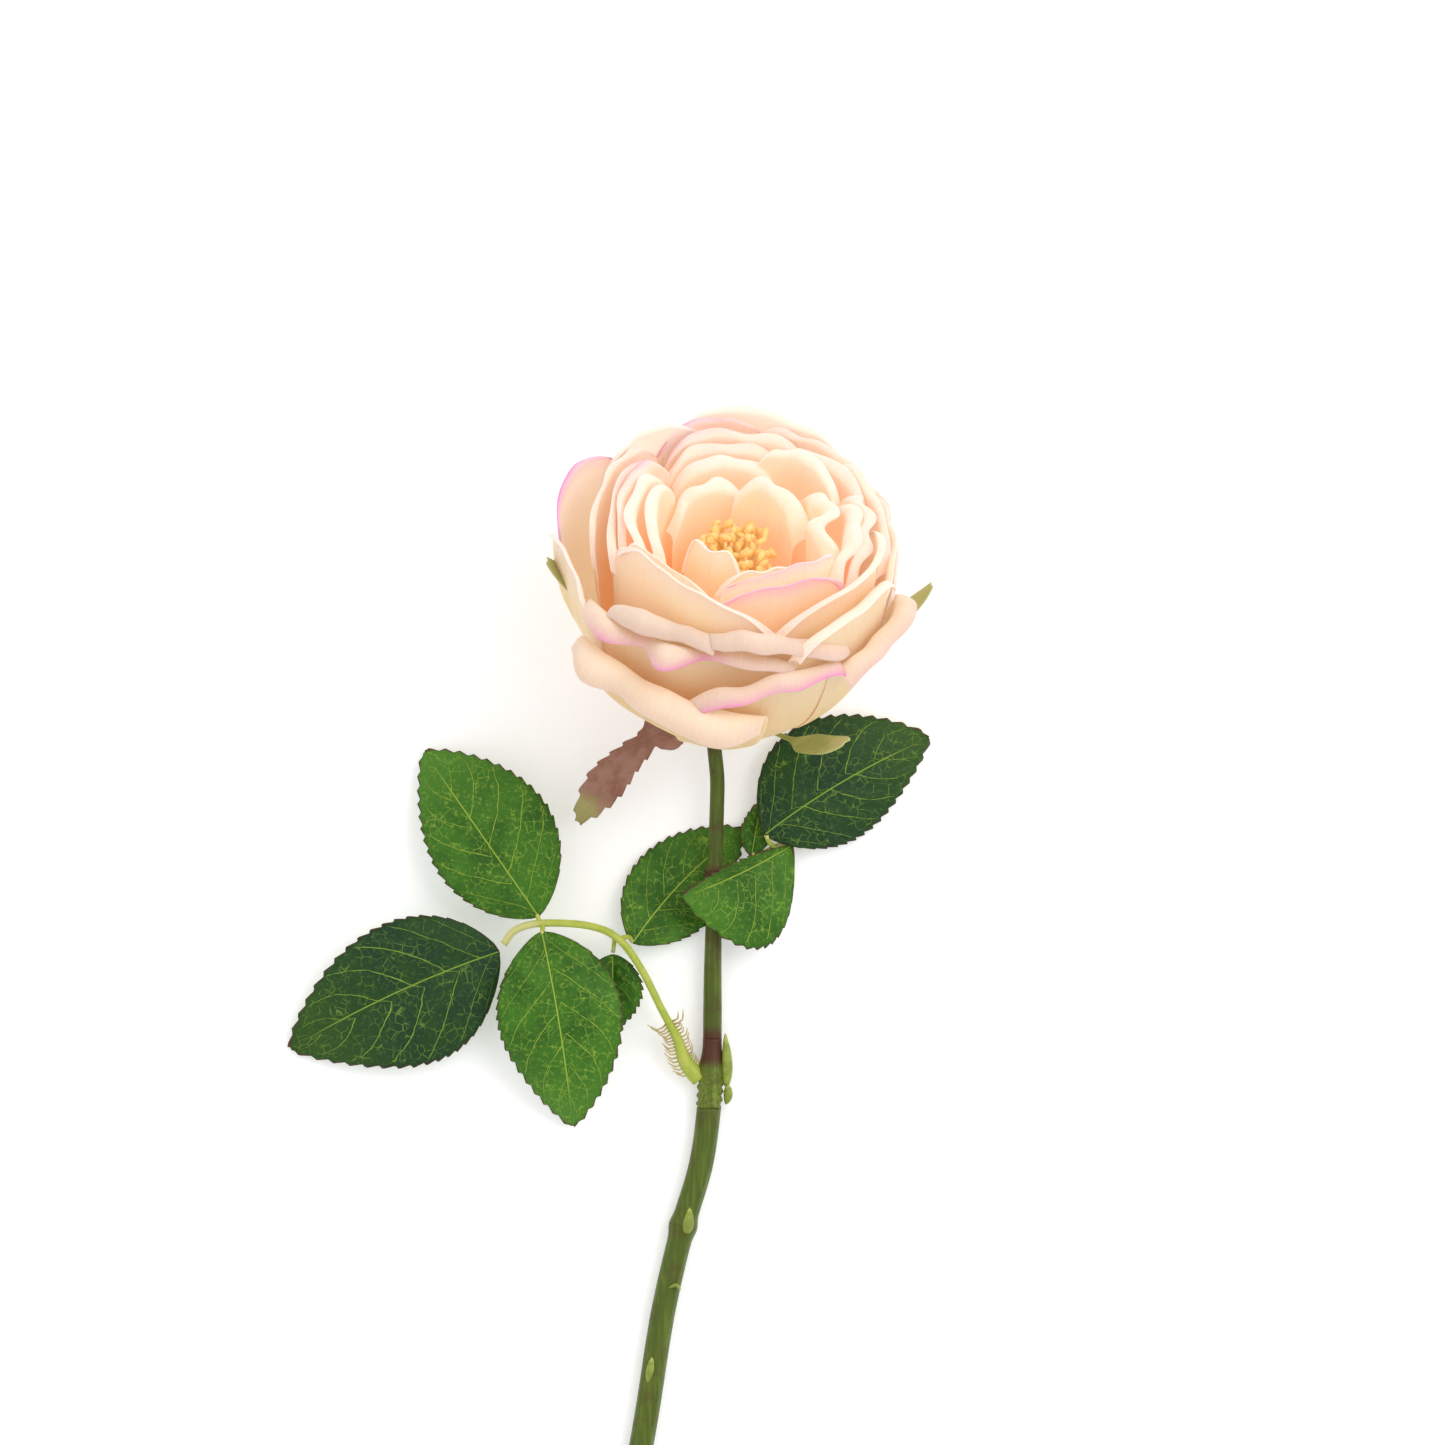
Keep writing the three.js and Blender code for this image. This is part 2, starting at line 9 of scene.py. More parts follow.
import bmesh
import bpy
import numpy as np
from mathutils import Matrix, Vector


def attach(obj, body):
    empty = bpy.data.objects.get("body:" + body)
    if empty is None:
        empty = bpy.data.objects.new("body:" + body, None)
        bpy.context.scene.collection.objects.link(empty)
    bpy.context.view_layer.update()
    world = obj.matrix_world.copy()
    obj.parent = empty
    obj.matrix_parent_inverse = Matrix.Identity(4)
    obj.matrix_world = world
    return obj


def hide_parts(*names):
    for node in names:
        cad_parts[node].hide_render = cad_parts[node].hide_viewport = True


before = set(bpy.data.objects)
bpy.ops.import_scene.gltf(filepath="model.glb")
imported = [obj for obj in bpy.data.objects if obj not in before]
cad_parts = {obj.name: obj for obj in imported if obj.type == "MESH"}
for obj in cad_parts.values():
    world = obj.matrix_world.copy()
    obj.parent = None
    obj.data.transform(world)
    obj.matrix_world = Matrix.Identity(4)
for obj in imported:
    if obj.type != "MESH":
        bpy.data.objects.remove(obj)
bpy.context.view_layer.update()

log = logging.getLogger("rose")

MM = 0.001
SEED = 41
WAVES_IN_SUM = 6
USUAL_SUM = 2.2  # how high that many waves usually stand together
SAME_PLACE = 1e-6  # metres
GOLDEN_ANGLE = 137.5
UP = (0.0, 0.0, 1.0)

Array = np.ndarray
Point = tuple[float, float, float]
Qualities = dict[str, Array]
Shape = Callable[[Array, Array], tuple[Array, Qualities]]
Radius = Callable[[Array, Array], Array]
Socket = bpy.types.NodeSocket
Material = bpy.types.Material
Value = Union[float, tuple, Socket]


class Slot(Enum):
    """The record's material slots."""

    GUARD = "guard_petal"
    PETAL = "petal"
    HEART = "heart_petal"
    STAMEN = "stamen"
    SEPAL = "sepal"
    DRY_SEPAL = "dry_sepal"
    STEM = "stem"
    SLEEVE = "sleeve"
    PETIOLE = "petiole"
    LEAF = "leaf"
    DARK_LEAF = "dark_leaf"


# ---- the bloom's place ----

BLOOM_FOOT = np.array((-1.2, 8.3, 23.7))
TILT = math.radians(45)
LEAN = math.radians(7)
HIP_LENGTH = 8.0
AXIS = np.array((math.cos(TILT) * math.sin(LEAN), math.cos(TILT) * math.cos(LEAN), math.sin(TILT)))
RIGHT = np.array((math.cos(LEAN), -math.sin(LEAN), 0.0))
BACK = np.cross(AXIS, RIGHT)


def frame_shift() -> Array:
    """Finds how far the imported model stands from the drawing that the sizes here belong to.

    Returns:
        The shift in millimetres, from the hip's lower end.
    """
    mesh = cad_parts["receptacle"].data
    places = np.unique(np.round([vertex.co for vertex in mesh.vertices], 6), axis=0) / MM
    height = places @ AXIS
    hip_end = places[height < height.min() + 0.01].mean(axis=0)
    return hip_end - (BLOOM_FOOT - HIP_LENGTH * AXIS)


SHIFT = frame_shift()


def placed(points: Array) -> Array:
    """Turns drawing points in millimetres into frame points in metres."""
    return (points + SHIFT) * MM


# ---- small number helpers ----


def along_axis(heights: Union[Array, tuple[float, ...]]) -> tuple[Point, ...]:
    """Points on the bloom's axis at heights above its foot."""
    return tuple(tuple(BLOOM_FOOT + height * AXIS) for height in heights)


def hump(value: Array, middle: float, width: float) -> Array:
    """A smooth hump of height 1 at middle."""
    return np.exp(-(((value - middle) / width) ** 2))


def bezier(handles: tuple[Value, ...], share: Array) -> Array:
    """A cubic curve through four handles."""
    weights = ((1 - share) ** 3, 3 * share * (1 - share) ** 2, 3 * share**2 * (1 - share), share**3)
    return sum(weight * handle for weight, handle in zip(weights, handles))


def skew(peak: float) -> float:
    """The power that moves the middle of a swelling from a half to peak."""
    return math.log(0.5) / math.log(peak)


def per_metre(size: float) -> float:
    """How many grains of a size in millimetres fill a metre, which is a pattern's scale."""
    return 1 / (size * MM)


def smooth(value: Array, start: float, end: float) -> Array:
    """A smooth step from 0 at start to 1 at end."""
    share = np.clip((value - start) / (end - start), 0.0, 1.0)
    return share * share * (3 - 2 * share)


def profile(values: tuple[float, ...], share: Array) -> Array:
    """A smooth line through evenly spaced values.

    Args:
        values: The values from share 0 to share 1.
        share: Where to read the line.

    Returns:
        The line's value at each share.
    """
    points = np.array(values, float)
    if len(points) == 1:
        return np.full_like(share, points[0])
    ends = np.concatenate(([2 * points[0] - points[1]], points, [2 * points[-1] - points[-2]]))
    place = np.clip(share, 0, 1) * (len(points) - 1)
    index = np.minimum(place.astype(int), len(points) - 2)
    t = place - index
    before, first, second, after = (ends[index + step] for step in range(4))
    slope_in, slope_out = (second - before) / 2, (after - first) / 2
    return (
        (2 * t**3 - 3 * t**2 + 1) * first
        + (t**3 - 2 * t**2 + t) * slope_in
        + (3 * t**2 - 2 * t**3) * second
        + (t**3 - t**2) * slope_out
    )


def waviness(u: Array, v: Array, seed: int, across: float, along: float) -> Array:
    """A gentle random undulation of about one unit.

    Args:
        u: Place across, from -1 to 1.
        v: Place along, from 0 to 1.
        seed: Picks one undulation.
        across: The most waves across.
        along: The most waves along.

    Returns:
        The height of the undulation at each place.
    """
    random = np.random.default_rng(SEED * 1000 + seed)
    total = np.zeros_like(u)
    for _ in range(WAVES_IN_SUM):
        turns = math.pi * (random.uniform(0.3, across) * u + random.uniform(-along, along) * v)
        total += random.uniform(0.4, 1.0) * np.sin(turns + random.uniform(0, 2 * math.pi))
    return total / USUAL_SUM


@dataclass(frozen=True)
class Route:
    """A smooth line through points, with a steady sideways direction along it."""

    stops: tuple[Point, ...]
    steps_per_stop: int = 40

    def places(self, share: Array) -> Array:
        """Points at shares of the line's length."""
        dense = np.linspace(0, 1, self.steps_per_stop * len(self.stops))
        line = np.stack([profile(axis, dense) for axis in zip(*self.stops)], axis=-1)
        length = np.concatenate(([0], np.cumsum(np.linalg.norm(np.diff(line, axis=0), axis=1))))
        return np.stack([np.interp(share * length[-1], length, line[:, i]) for i in range(3)], axis=-1)

    def directions(self, share: Array) -> tuple[Array, Array, Array]:
        """The line's way, its right hand and its upper side at shares of its length."""
        step = 0.004
        ahead = self.places(np.clip(share + step, 0, 1)) - self.places(np.clip(share - step, 0, 1))
        ahead /= np.linalg.norm(ahead, axis=-1, keepdims=True)
        side = np.cross(ahead, UP)
        side /= np.linalg.norm(side, axis=-1, keepdims=True)
        return ahead, side, np.cross(side, ahead)


# ---- meshes ----


class Maker:
    """Makes one mesh out of grids that are reshaped as cloth is pulled over a form."""

    def __init__(self, *qualities: str) -> None:
        """Starts an empty mesh whose vertices carry the named qualities."""
        self.mesh = bmesh.new()
        self.chart = self.mesh.loops.layers.uv.new("UVMap")
        self.qualities = {name: self.mesh.verts.layers.float.new(name) for name in qualities}

    def sheet(self, across: int, along: int, shape: Shape) -> list[bmesh.types.BMVert]:
        """Adds a grid and moves it to a shape.

        Args:
            across: Faces across.
            along: Faces along.
            shape: Gives points in drawing millimetres, and qualities, for u from -1 to 1 across and
                v from 0 to 1 along.

        Returns:
            The new vertices.
        """
        made = bmesh.ops.create_grid(
            self.mesh, x_segments=across, y_segments=along, size=1.0, calc_uvs=True
        )["verts"]
        flat = np.array([vertex.co for vertex in made])
        points, qualities = shape(flat[:, 0], (flat[:, 1] + 1) / 2)
        for vertex, place in zip(made, placed(points)):
            vertex.co = place
        for name, values in qualities.items():
            layer = self.qualities[name]
            for vertex, value in zip(made, values):
                vertex[layer] = value
        return made

    def tube(
        self, stops: Union[Route, tuple[Point, ...]], radius: Radius, sides: int, steps: int
    ) -> None:
        """Adds a closed tube along a route.

        Args:
            stops: The tube's middle line, or the points that it passes through.
            radius: Gives the radius for an angle in radians and a share of the length.
            sides: Faces round it.
            steps: Faces along it.
        """
        route = stops if isinstance(stops, Route) else Route(stops)

        def shape(u: Array, v: Array) -> tuple[Array, Qualities]:
            angle = math.pi * u
            _, side, up = route.directions(v)
            outwards = np.sin(angle)[:, None] * side + np.cos(angle)[:, None] * up
            points = route.places(v) + radius(angle, v)[:, None] * outwards
            known = {"along": v, "angle": np.cos(angle)}
            return points, {name: known[name] for name in known if name in self.qualities}

        made = self.sheet(sides, steps, shape)
        bmesh.ops.remove_doubles(self.mesh, verts=made, dist=SAME_PLACE)
        left = [vertex for vertex in made if vertex.is_valid]
        rims = {edge for vertex in left for edge in vertex.link_edges if edge.is_boundary}
        caps = bmesh.ops.holes_fill(self.mesh, edges=list(rims), sides=sides)["faces"]
        ring = {face for vertex in left for face in vertex.link_faces}
        bmesh.ops.recalc_face_normals(self.mesh, faces=list(ring | set(caps)))

    def finish(
        self, name: str, materials: list[Material], slot: Slot, *nodes: str
    ) -> bpy.types.Object:
        """Turns the mesh into a piece that rides on the rose.

        Args:
            name: The piece's name.
            materials: Its finishes, the outer or upper side first.
            slot: Not used; it names the record's slot for the piece's finish.
            *nodes: The CAD nodes that it stands for.

        Returns:
            The piece.
        """
        data = bpy.data.meshes.new(name)
        self.mesh.to_mesh(data)
        self.mesh.free()
        data.polygons.foreach_set("use_smooth", [True] * len(data.polygons))
        for material in materials:
            data.materials.append(material)
        piece = bpy.data.objects.new(name, data)
        bpy.context.scene.collection.objects.link(piece)
        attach(piece, "root")
        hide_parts(*nodes)
        log.info("%s: %d faces, for %s", name, len(data.polygons), ", ".join(nodes) or "no node")
        return piece


def thicken(
    piece: bpy.types.Object, thickness: float, two_sided: bool = False, rounds: int = 0
) -> None:
    """Gives a sheet its thickness and rounds it.

    Args:
        piece: The sheet.
        thickness: In millimetres, shared between both sides.
        two_sided: Whether the lower or inner side has the second finish.
        rounds: Rounds of subdivision.
    """
    wall = piece.modifiers.new("Thickness", "SOLIDIFY")
    wall.thickness = thickness * MM
    wall.offset = 0.0
    wall.material_offset = int(two_sided)
    wall.material_offset_rim = int(two_sided)
    if rounds:
        soft = piece.modifiers.new("Softness", "SUBSURF")
        soft.levels = soft.render_levels = rounds


# ---- materials ----


def colour(code: str) -> tuple[float, float, float, float]:
    """Turns an sRGB code such as #E8D3BE into linear light."""
    channels = [int(code[i : i + 2], 16) / 255 for i in (1, 3, 5)]
    linear = [c / 12.92 if c <= 0.04045 else ((c + 0.055) / 1.055) ** 2.4 for c in channels]
    return (*linear, 1.0)


def add_node(
    tree: bpy.types.NodeTree, kind: str, inputs: Optional[dict] = None, **settings: object
) -> bpy.types.Node:
    """Adds a node.

    Args:
        tree: The material's nodes.
        kind: The node's type.
        inputs: A number, colour or linked output for each input, by name or number.
        **settings: The node's own settings.

    Returns:
        The node.
    """
    node = tree.nodes.new(kind)
    for name, value in settings.items():
        setattr(node, name, value)
    for name, value in (inputs or {}).items():
        if isinstance(value, Socket):
            tree.links.new(value, node.inputs[name])
        else:
            node.inputs[name].default_value = value
    return node


class Surface:
    """A material in the making, with short words for the nodes that it needs most."""

    def __init__(self, name: str) -> None:
        """Starts a material with one Principled shader."""
        self.material = bpy.data.materials.new(name)
        self.material.use_nodes = True
        self.tree = self.material.node_tree
        self.shader = self.tree.nodes["Principled BSDF"]
        self.object_place = add_node(self.tree, "ShaderNodeTexCoord").outputs["Object"]

    def quality(self, name: str) -> Socket:
        """Reads a quality that the mesh carries."""
        return add_node(self.tree, "ShaderNodeAttribute", attribute_name=name).outputs["Fac"]

    def stretched(self, place: Socket, *scales: float) -> Socket:
        """Places scaled along each axis."""
        return add_node(self.tree, "ShaderNodeMapping", {"Vector": place, "Scale": scales}).outputs[0]

    def chart(self, size: tuple[float, float], thread: tuple[float, float]) -> Socket:
        """The sheet's own chart, counted in threads.

        Args:
            size: The sheet's usual width and length, in millimetres.
            thread: How wide and how long a thread is, in millimetres.

        Returns:
            The place on the sheet.
        """
        flat = add_node(self.tree, "ShaderNodeUVMap", uv_map="UVMap").outputs["UV"]
        return self.stretched(flat, size[0] / thread[0], size[1] / thread[1], 1.0)

    def maths(self, operation: str, *values: Value) -> Socket:
        """Does one sum."""
        inputs = dict(enumerate(values))
        return add_node(self.tree, "ShaderNodeMath", inputs, operation=operation).outputs[0]

    def span(
        self, value: Value, start: float, end: float, low: float = 0.0, high: float = 1.0
    ) -> Socket:
        """A smooth step from low at start to high at end."""
        inputs = {"Value": value, "From Min": start, "From Max": end, "To Min": low, "To Max": high}
        step = add_node(self.tree, "ShaderNodeMapRange", inputs, interpolation_type="SMOOTHSTEP")
        return step.outputs[0]

    def cloud(self, place: Socket, scale: float, detail: float = 3.0) -> Socket:
        """Soft random patches from 0 to 1."""
        inputs = {"Vector": place, "Scale": scale, "Detail": detail, "Roughness": 0.55}
        return add_node(self.tree, "ShaderNodeTexNoise", inputs).outputs[0]

    def cells(self, place: Socket, scale: float) -> Socket:
        """The distance from the edges of random cells."""
        inputs = {"Vector": place, "Scale": scale}
        cells = add_node(self.tree, "ShaderNodeTexVoronoi", inputs, feature="DISTANCE_TO_EDGE")
        return cells.outputs[0]

    def blend(self, share: Value, low: Value, high: Union[str, Value]) -> Socket:
        """Goes from one colour to another, which may be an sRGB code."""
        inputs = {0: share, 6: low, 7: colour(high) if isinstance(high, str) else high}
        return add_node(self.tree, "ShaderNodeMix", inputs, data_type="RGBA").outputs[2]

    def relief(self, height: Value, depth: float, under: Optional[Socket] = None) -> Socket:
        """Bumps of a depth in millimetres, over other bumps if there are any."""
        inputs = {"Height": height, "Distance": depth * MM, "Strength": 1.0}
        if under is not None:
            inputs["Normal"] = under
        return add_node(self.tree, "ShaderNodeBump", inputs).outputs[0]

    def dress(self, **inputs: Value) -> Material:
        """Sets the shader's inputs, whose names are written with underscores.

        Args:
            **inputs: A number, colour or linked output for each input.

        Returns:
            The finished material.
        """
        for name, value in inputs.items():
            socket = self.shader.inputs[name.replace("_", " ")]
            if isinstance(value, Socket):
                self.tree.links.new(value, socket)
            else:
                socket.default_value = value
        return self.material


@dataclass(frozen=True)
class PetalFinish:
    """Dyed polyester petal cloth, pressed hot: a satin face with fine creases, and no gloss.

    It is pale at the rim and warmer down the face, deep in the bloom, partly from its dye and partly
    from painted warm bounce light, with a blush painted on some edges. Light goes through it, which
    is why it scatters a little, and a painted glow in its own colour stands in for the light that it
    passes on. Sizes are in millimetres.
    """

    name: str
    rim: str
    face: str
    deep: str
    blush: str = "#E27DB4"
    worn: str = "#FFFBF6"
    rim_reach: float = 11.0
    veins: float = 0.10
    # painted light: the strength of the glow that the cloth gives off in its own colour
    painted_glow: float = 0.1
    patch: float = 14.3  # a soft cloud of dye
    sheet: tuple[float, float] = (60.0, 55.0)  # a petal's usual width and length
    streak: tuple[float, float] = (1.3, 25.0)  # a pressed crease's width and length
    hair: tuple[float, float] = (0.4, 11.0)  # a fine rubbed line's width and length
    thread: float = 0.385  # the weave, drawn about twice as coarse as it is so that it shows

    def material(self) -> Material:
        """Makes the cloth. Its IOR is the shader's own 1.5, near polyester's 1.57.

        Returns:
            The material.
        """
        made = Surface(f"polyester_petal_{self.name}")
        rim, depth, blush = made.quality("rim"), made.quality("depth"), made.quality("blush")
        patches = made.cloud(made.object_place, per_metre(self.patch))
        streaks = made.cloud(made.chart(self.sheet, self.streak), 1.0, 2.0)
        fine = made.cloud(made.chart(self.sheet, self.hair), 1.0, 1.0)
        from_rim = made.maths("ADD", rim, made.maths("MULTIPLY", patches, 4.0))
        # Warmer towards the bloom's depth: partly the dye, partly painted warm bounce light between the
        # petals.
        base = made.blend(made.span(depth, 0.0, 1.0), colour(self.face), self.deep)
        base = made.blend(made.span(from_rim, self.rim_reach + 2, 1.5), base, self.rim)
        base = made.blend(made.span(streaks, 0.45, 0.75, 0.0, self.veins), base, self.deep)
        base = made.blend(made.span(fine, 0.5, 0.8, 0.0, self.veins * 0.8), base, self.worn)
        paint = made.maths("MULTIPLY", blush, made.span(patches, 0.25, 0.6, 0.75, 1.1))
        base = made.blend(paint, base, self.blush)
        weave = made.cloud(made.object_place, per_metre(self.thread), 1.0)
        bumps = made.relief(streaks, 0.16)
        bumps = made.relief(fine, 0.05, bumps)
        return made.dress(
            Base_Color=base,
            Normal=made.relief(weave, 0.012, bumps),
            Roughness=made.span(patches, 0.3, 0.7, 0.5, 0.62),
            Specular_IOR_Level=0.3,
            Sheen_Weight=0.1,
            Sheen_Roughness=0.5,
            Subsurface_Weight=0.5,
            Subsurface_Radius=(1.0, 0.7, 0.45),
            Subsurface_Scale=0.004,
            # Painted glow: the cloth gives off its own colour, as if lit through and between the
            # petals.
            Emission_Color=base,
            Emission_Strength=self.painted_glow,
        )


@dataclass(frozen=True)
class LeafFinish:
    """Printed polyester leaf cloth, stiffened: half matt, with a fine weave.

    It has a green ground, yellow-green veins and a singed brown edge. Sizes are in millimetres.
    """

    name: str
    ground: str
    shade: str
    tip: str
    vein: str
    edge: str = "#5A3A30"
    speckle: float = 0.5
    patch: float = 11.1  # a soft cloud of dye
    crumb: float = 1.11  # a speck of the lighter print
    vein_bend: float = 7.7  # how often a side vein bends
    vein_break: float = 2.38  # how often a side vein fades
    cell: float = 2.63  # a mesh of the smallest veins
    mesh_patch: float = 4.17  # where that mesh shows
    sheet: tuple[float, float] = (39.0, 60.0)  # a leaflet's usual width and length
    thread: tuple[float, float] = (0.26, 0.2)  # the weave, slightly coarser than it is

    def material(self) -> Material:
        """Makes the print. Its IOR is the shader's own 1.5, near polyester's 1.57.

        Returns:
            The material.
        """
        made = Surface(f"polyester_leaf_{self.name}")
        across, along = made.quality("across"), made.quality("along")
        edge, lateral = made.quality("edge"), made.quality("lateral")
        patches = made.cloud(made.object_place, per_metre(self.patch))
        crumbs = made.cloud(made.object_place, per_metre(self.crumb), 4.0)
        to_tip = made.maths("ADD", along, made.maths("MULTIPLY", patches, 0.5))
        base = made.blend(made.span(patches, 0.35, 0.65), colour(self.ground), self.shade)
        base = made.blend(made.span(to_tip, 0.75, 1.35), base, self.tip)
        base = made.blend(made.span(crumbs, 0.52, 0.78, 0.0, self.speckle), base, self.vein)
        bends = made.cloud(made.object_place, per_metre(self.vein_bend))
        wobble = made.maths("MULTIPLY_ADD", bends, 0.3, -0.15)
        turn = made.maths("FRACT", made.maths("ADD", lateral, wobble))
        from_lateral = made.maths("ABSOLUTE", made.maths("SUBTRACT", turn, 0.5))
        breaks = made.cloud(made.object_place, per_metre(self.vein_break))
        broken = made.span(breaks, 0.34, 0.52, 0.35, 1.0)
        branch = made.maths("MULTIPLY", made.span(from_lateral, 0.03, 0.008), broken)
        mesh = made.span(made.cells(made.object_place, per_metre(self.cell)), 0.05, 0.0, 0.0, 0.55)
        meshed = made.span(made.cloud(made.object_place, per_metre(self.mesh_patch)), 0.42, 0.62)
        net = made.maths("MULTIPLY", mesh, meshed)
        rib = made.span(made.maths("ABSOLUTE", across), 0.32, 0.1)
        rib = made.maths("MULTIPLY", rib, made.span(along, 0.97, 0.7))
        lines = made.maths("MAXIMUM", made.maths("MAXIMUM", branch, net), rib)
        lines = made.maths("MULTIPLY", lines, made.span(edge, 0.6, 2.2))
        base = made.blend(lines, base, self.vein)
        brown = made.span(made.maths("ADD", edge, made.maths("MULTIPLY", crumbs, 0.4)), 0.75, 0.3)
        base = made.blend(brown, base, self.edge)
        weave = made.cloud(made.chart(self.sheet, self.thread), 1.0, 1.0)
        bumps = made.relief(made.maths("MAXIMUM", branch, rib), 0.25)
        return made.dress(
            Base_Color=base,
            Normal=made.relief(weave, 0.05, bumps),
            Roughness=made.span(patches, 0.3, 0.7, 0.46, 0.6),
            Specular_IOR_Level=0.22,
            Subsurface_Weight=0.1,
            Subsurface_Radius=(0.6, 1.0, 0.3),
            Subsurface_Scale=0.0015,
        )


@dataclass(frozen=True)
class StemFinish:
    """Polythene moulded over a wire: a waxy half gloss, dyed green and brushed brown, with painted
    shade on its underside.
    """

    name: str
    green: str
    brushed: str
    stain: str
    roughness: float = 0.38
    patch: float = 6.25  # mm, a cloud of dye
    bristle: tuple[float, float] = (1.11, 14.3)  # mm, a brush stroke's width and length

    def material(self) -> Material:
        """Makes the plastic. Its IOR is the shader's own 1.5, near polythene's 1.51.

        Returns:
            The material.
        """
        made = Surface(self.name)
        angle, band = made.quality("angle"), made.quality("band")
        patches = made.cloud(made.object_place, per_metre(self.patch))
        width, length = per_metre(self.bristle[0]), per_metre(self.bristle[1])
        strokes = made.stretched(made.object_place, width, length, width)
        brushed = made.span(made.cloud(strokes, 1.0), 0.4, 0.7)
        base = made.blend(brushed, colour(self.green), self.brushed)
        base = made.blend(made.maths("MULTIPLY", made.span(patches, 0.5, 0.7), 0.45), base, self.stain)
        base = made.blend(made.span(band, 0.0, 1.0), base, self.stain)
        # Painted shade: the underside is darkened towards the stain colour.
        base = made.blend(made.span(angle, 0.2, -0.8, 0.0, 0.35), base, self.stain)
        return made.dress(
            Base_Color=base,
            Normal=made.relief(made.cloud(strokes, 0.6), 0.12),
            Roughness=made.span(patches, 0.3, 0.7, self.roughness - 0.06, self.roughness + 0.12),
            Specular_IOR_Level=0.3,
        )


@dataclass(frozen=True)
class PlainFinish:
    """Dyed polythene or cloth in two patchy colours: soft, slightly waxy, with a fine grain."""

    name: str
    ground: str
    patch: str
    end: str
    patch_size: float = 5.0  # mm
    grain: float = 0.06
    roughness: float = 0.55
    painted_glow: float = 0.0
    grain_size: float = 0.455  # mm, drawn coarser than it is so that it shows

    def material(self) -> Material:
        """Makes the finish. Its IOR is the shader's own 1.5, near polythene's 1.51.

        Returns:
            The material.
        """
        made = Surface(self.name)
        along = made.quality("along")
        patches = made.cloud(made.object_place, per_metre(self.patch_size))
        grain = made.cloud(made.object_place, per_metre(self.grain_size), 2.0)
        to_end = made.maths("MULTIPLY_ADD", patches, 0.3, along)
        base = made.blend(made.span(patches, 0.38, 0.62), colour(self.ground), self.patch)
        base = made.blend(made.span(to_end, 0.92, 1.08), base, self.end)
        base = made.blend(made.span(grain, 0.45, 0.75, 0.0, 0.3), base, self.end)
        return made.dress(
            Base_Color=base,
            Normal=made.relief(grain, self.grain),
            Roughness=self.roughness,
            Specular_IOR_Level=0.35,
            # Painted glow: with a glow above nought the finish gives off its own colour.
            Emission_Color=base,
            Emission_Strength=self.painted_glow,
            Subsurface_Weight=0.12,
            Subsurface_Radius=(1.0, 0.8, 0.4),
            Subsurface_Scale=0.0015,
        )


# ---- the bloom ----


@dataclass(frozen=True)
class Petal:
    """One petal. Lists run along its rim, in millimetres from its left end to its right end.

    The azimuth and half width are in degrees about the bloom's axis, and the curl is the turn of the
    rolled rim in radians.
    """

    azimuth: float
    half_width: float
    radii: tuple[float, ...]
    heights: tuple[float, ...]
    lip: tuple[float, ...] = (1.0,)
    curl: tuple[float, ...] = (1.1,)
    blush: tuple[float, ...] = (0.12,)
    ruffle: float = 0.25
    waves: float = 3.0
    ragged: float = 0.35
    corner: float = 0.12


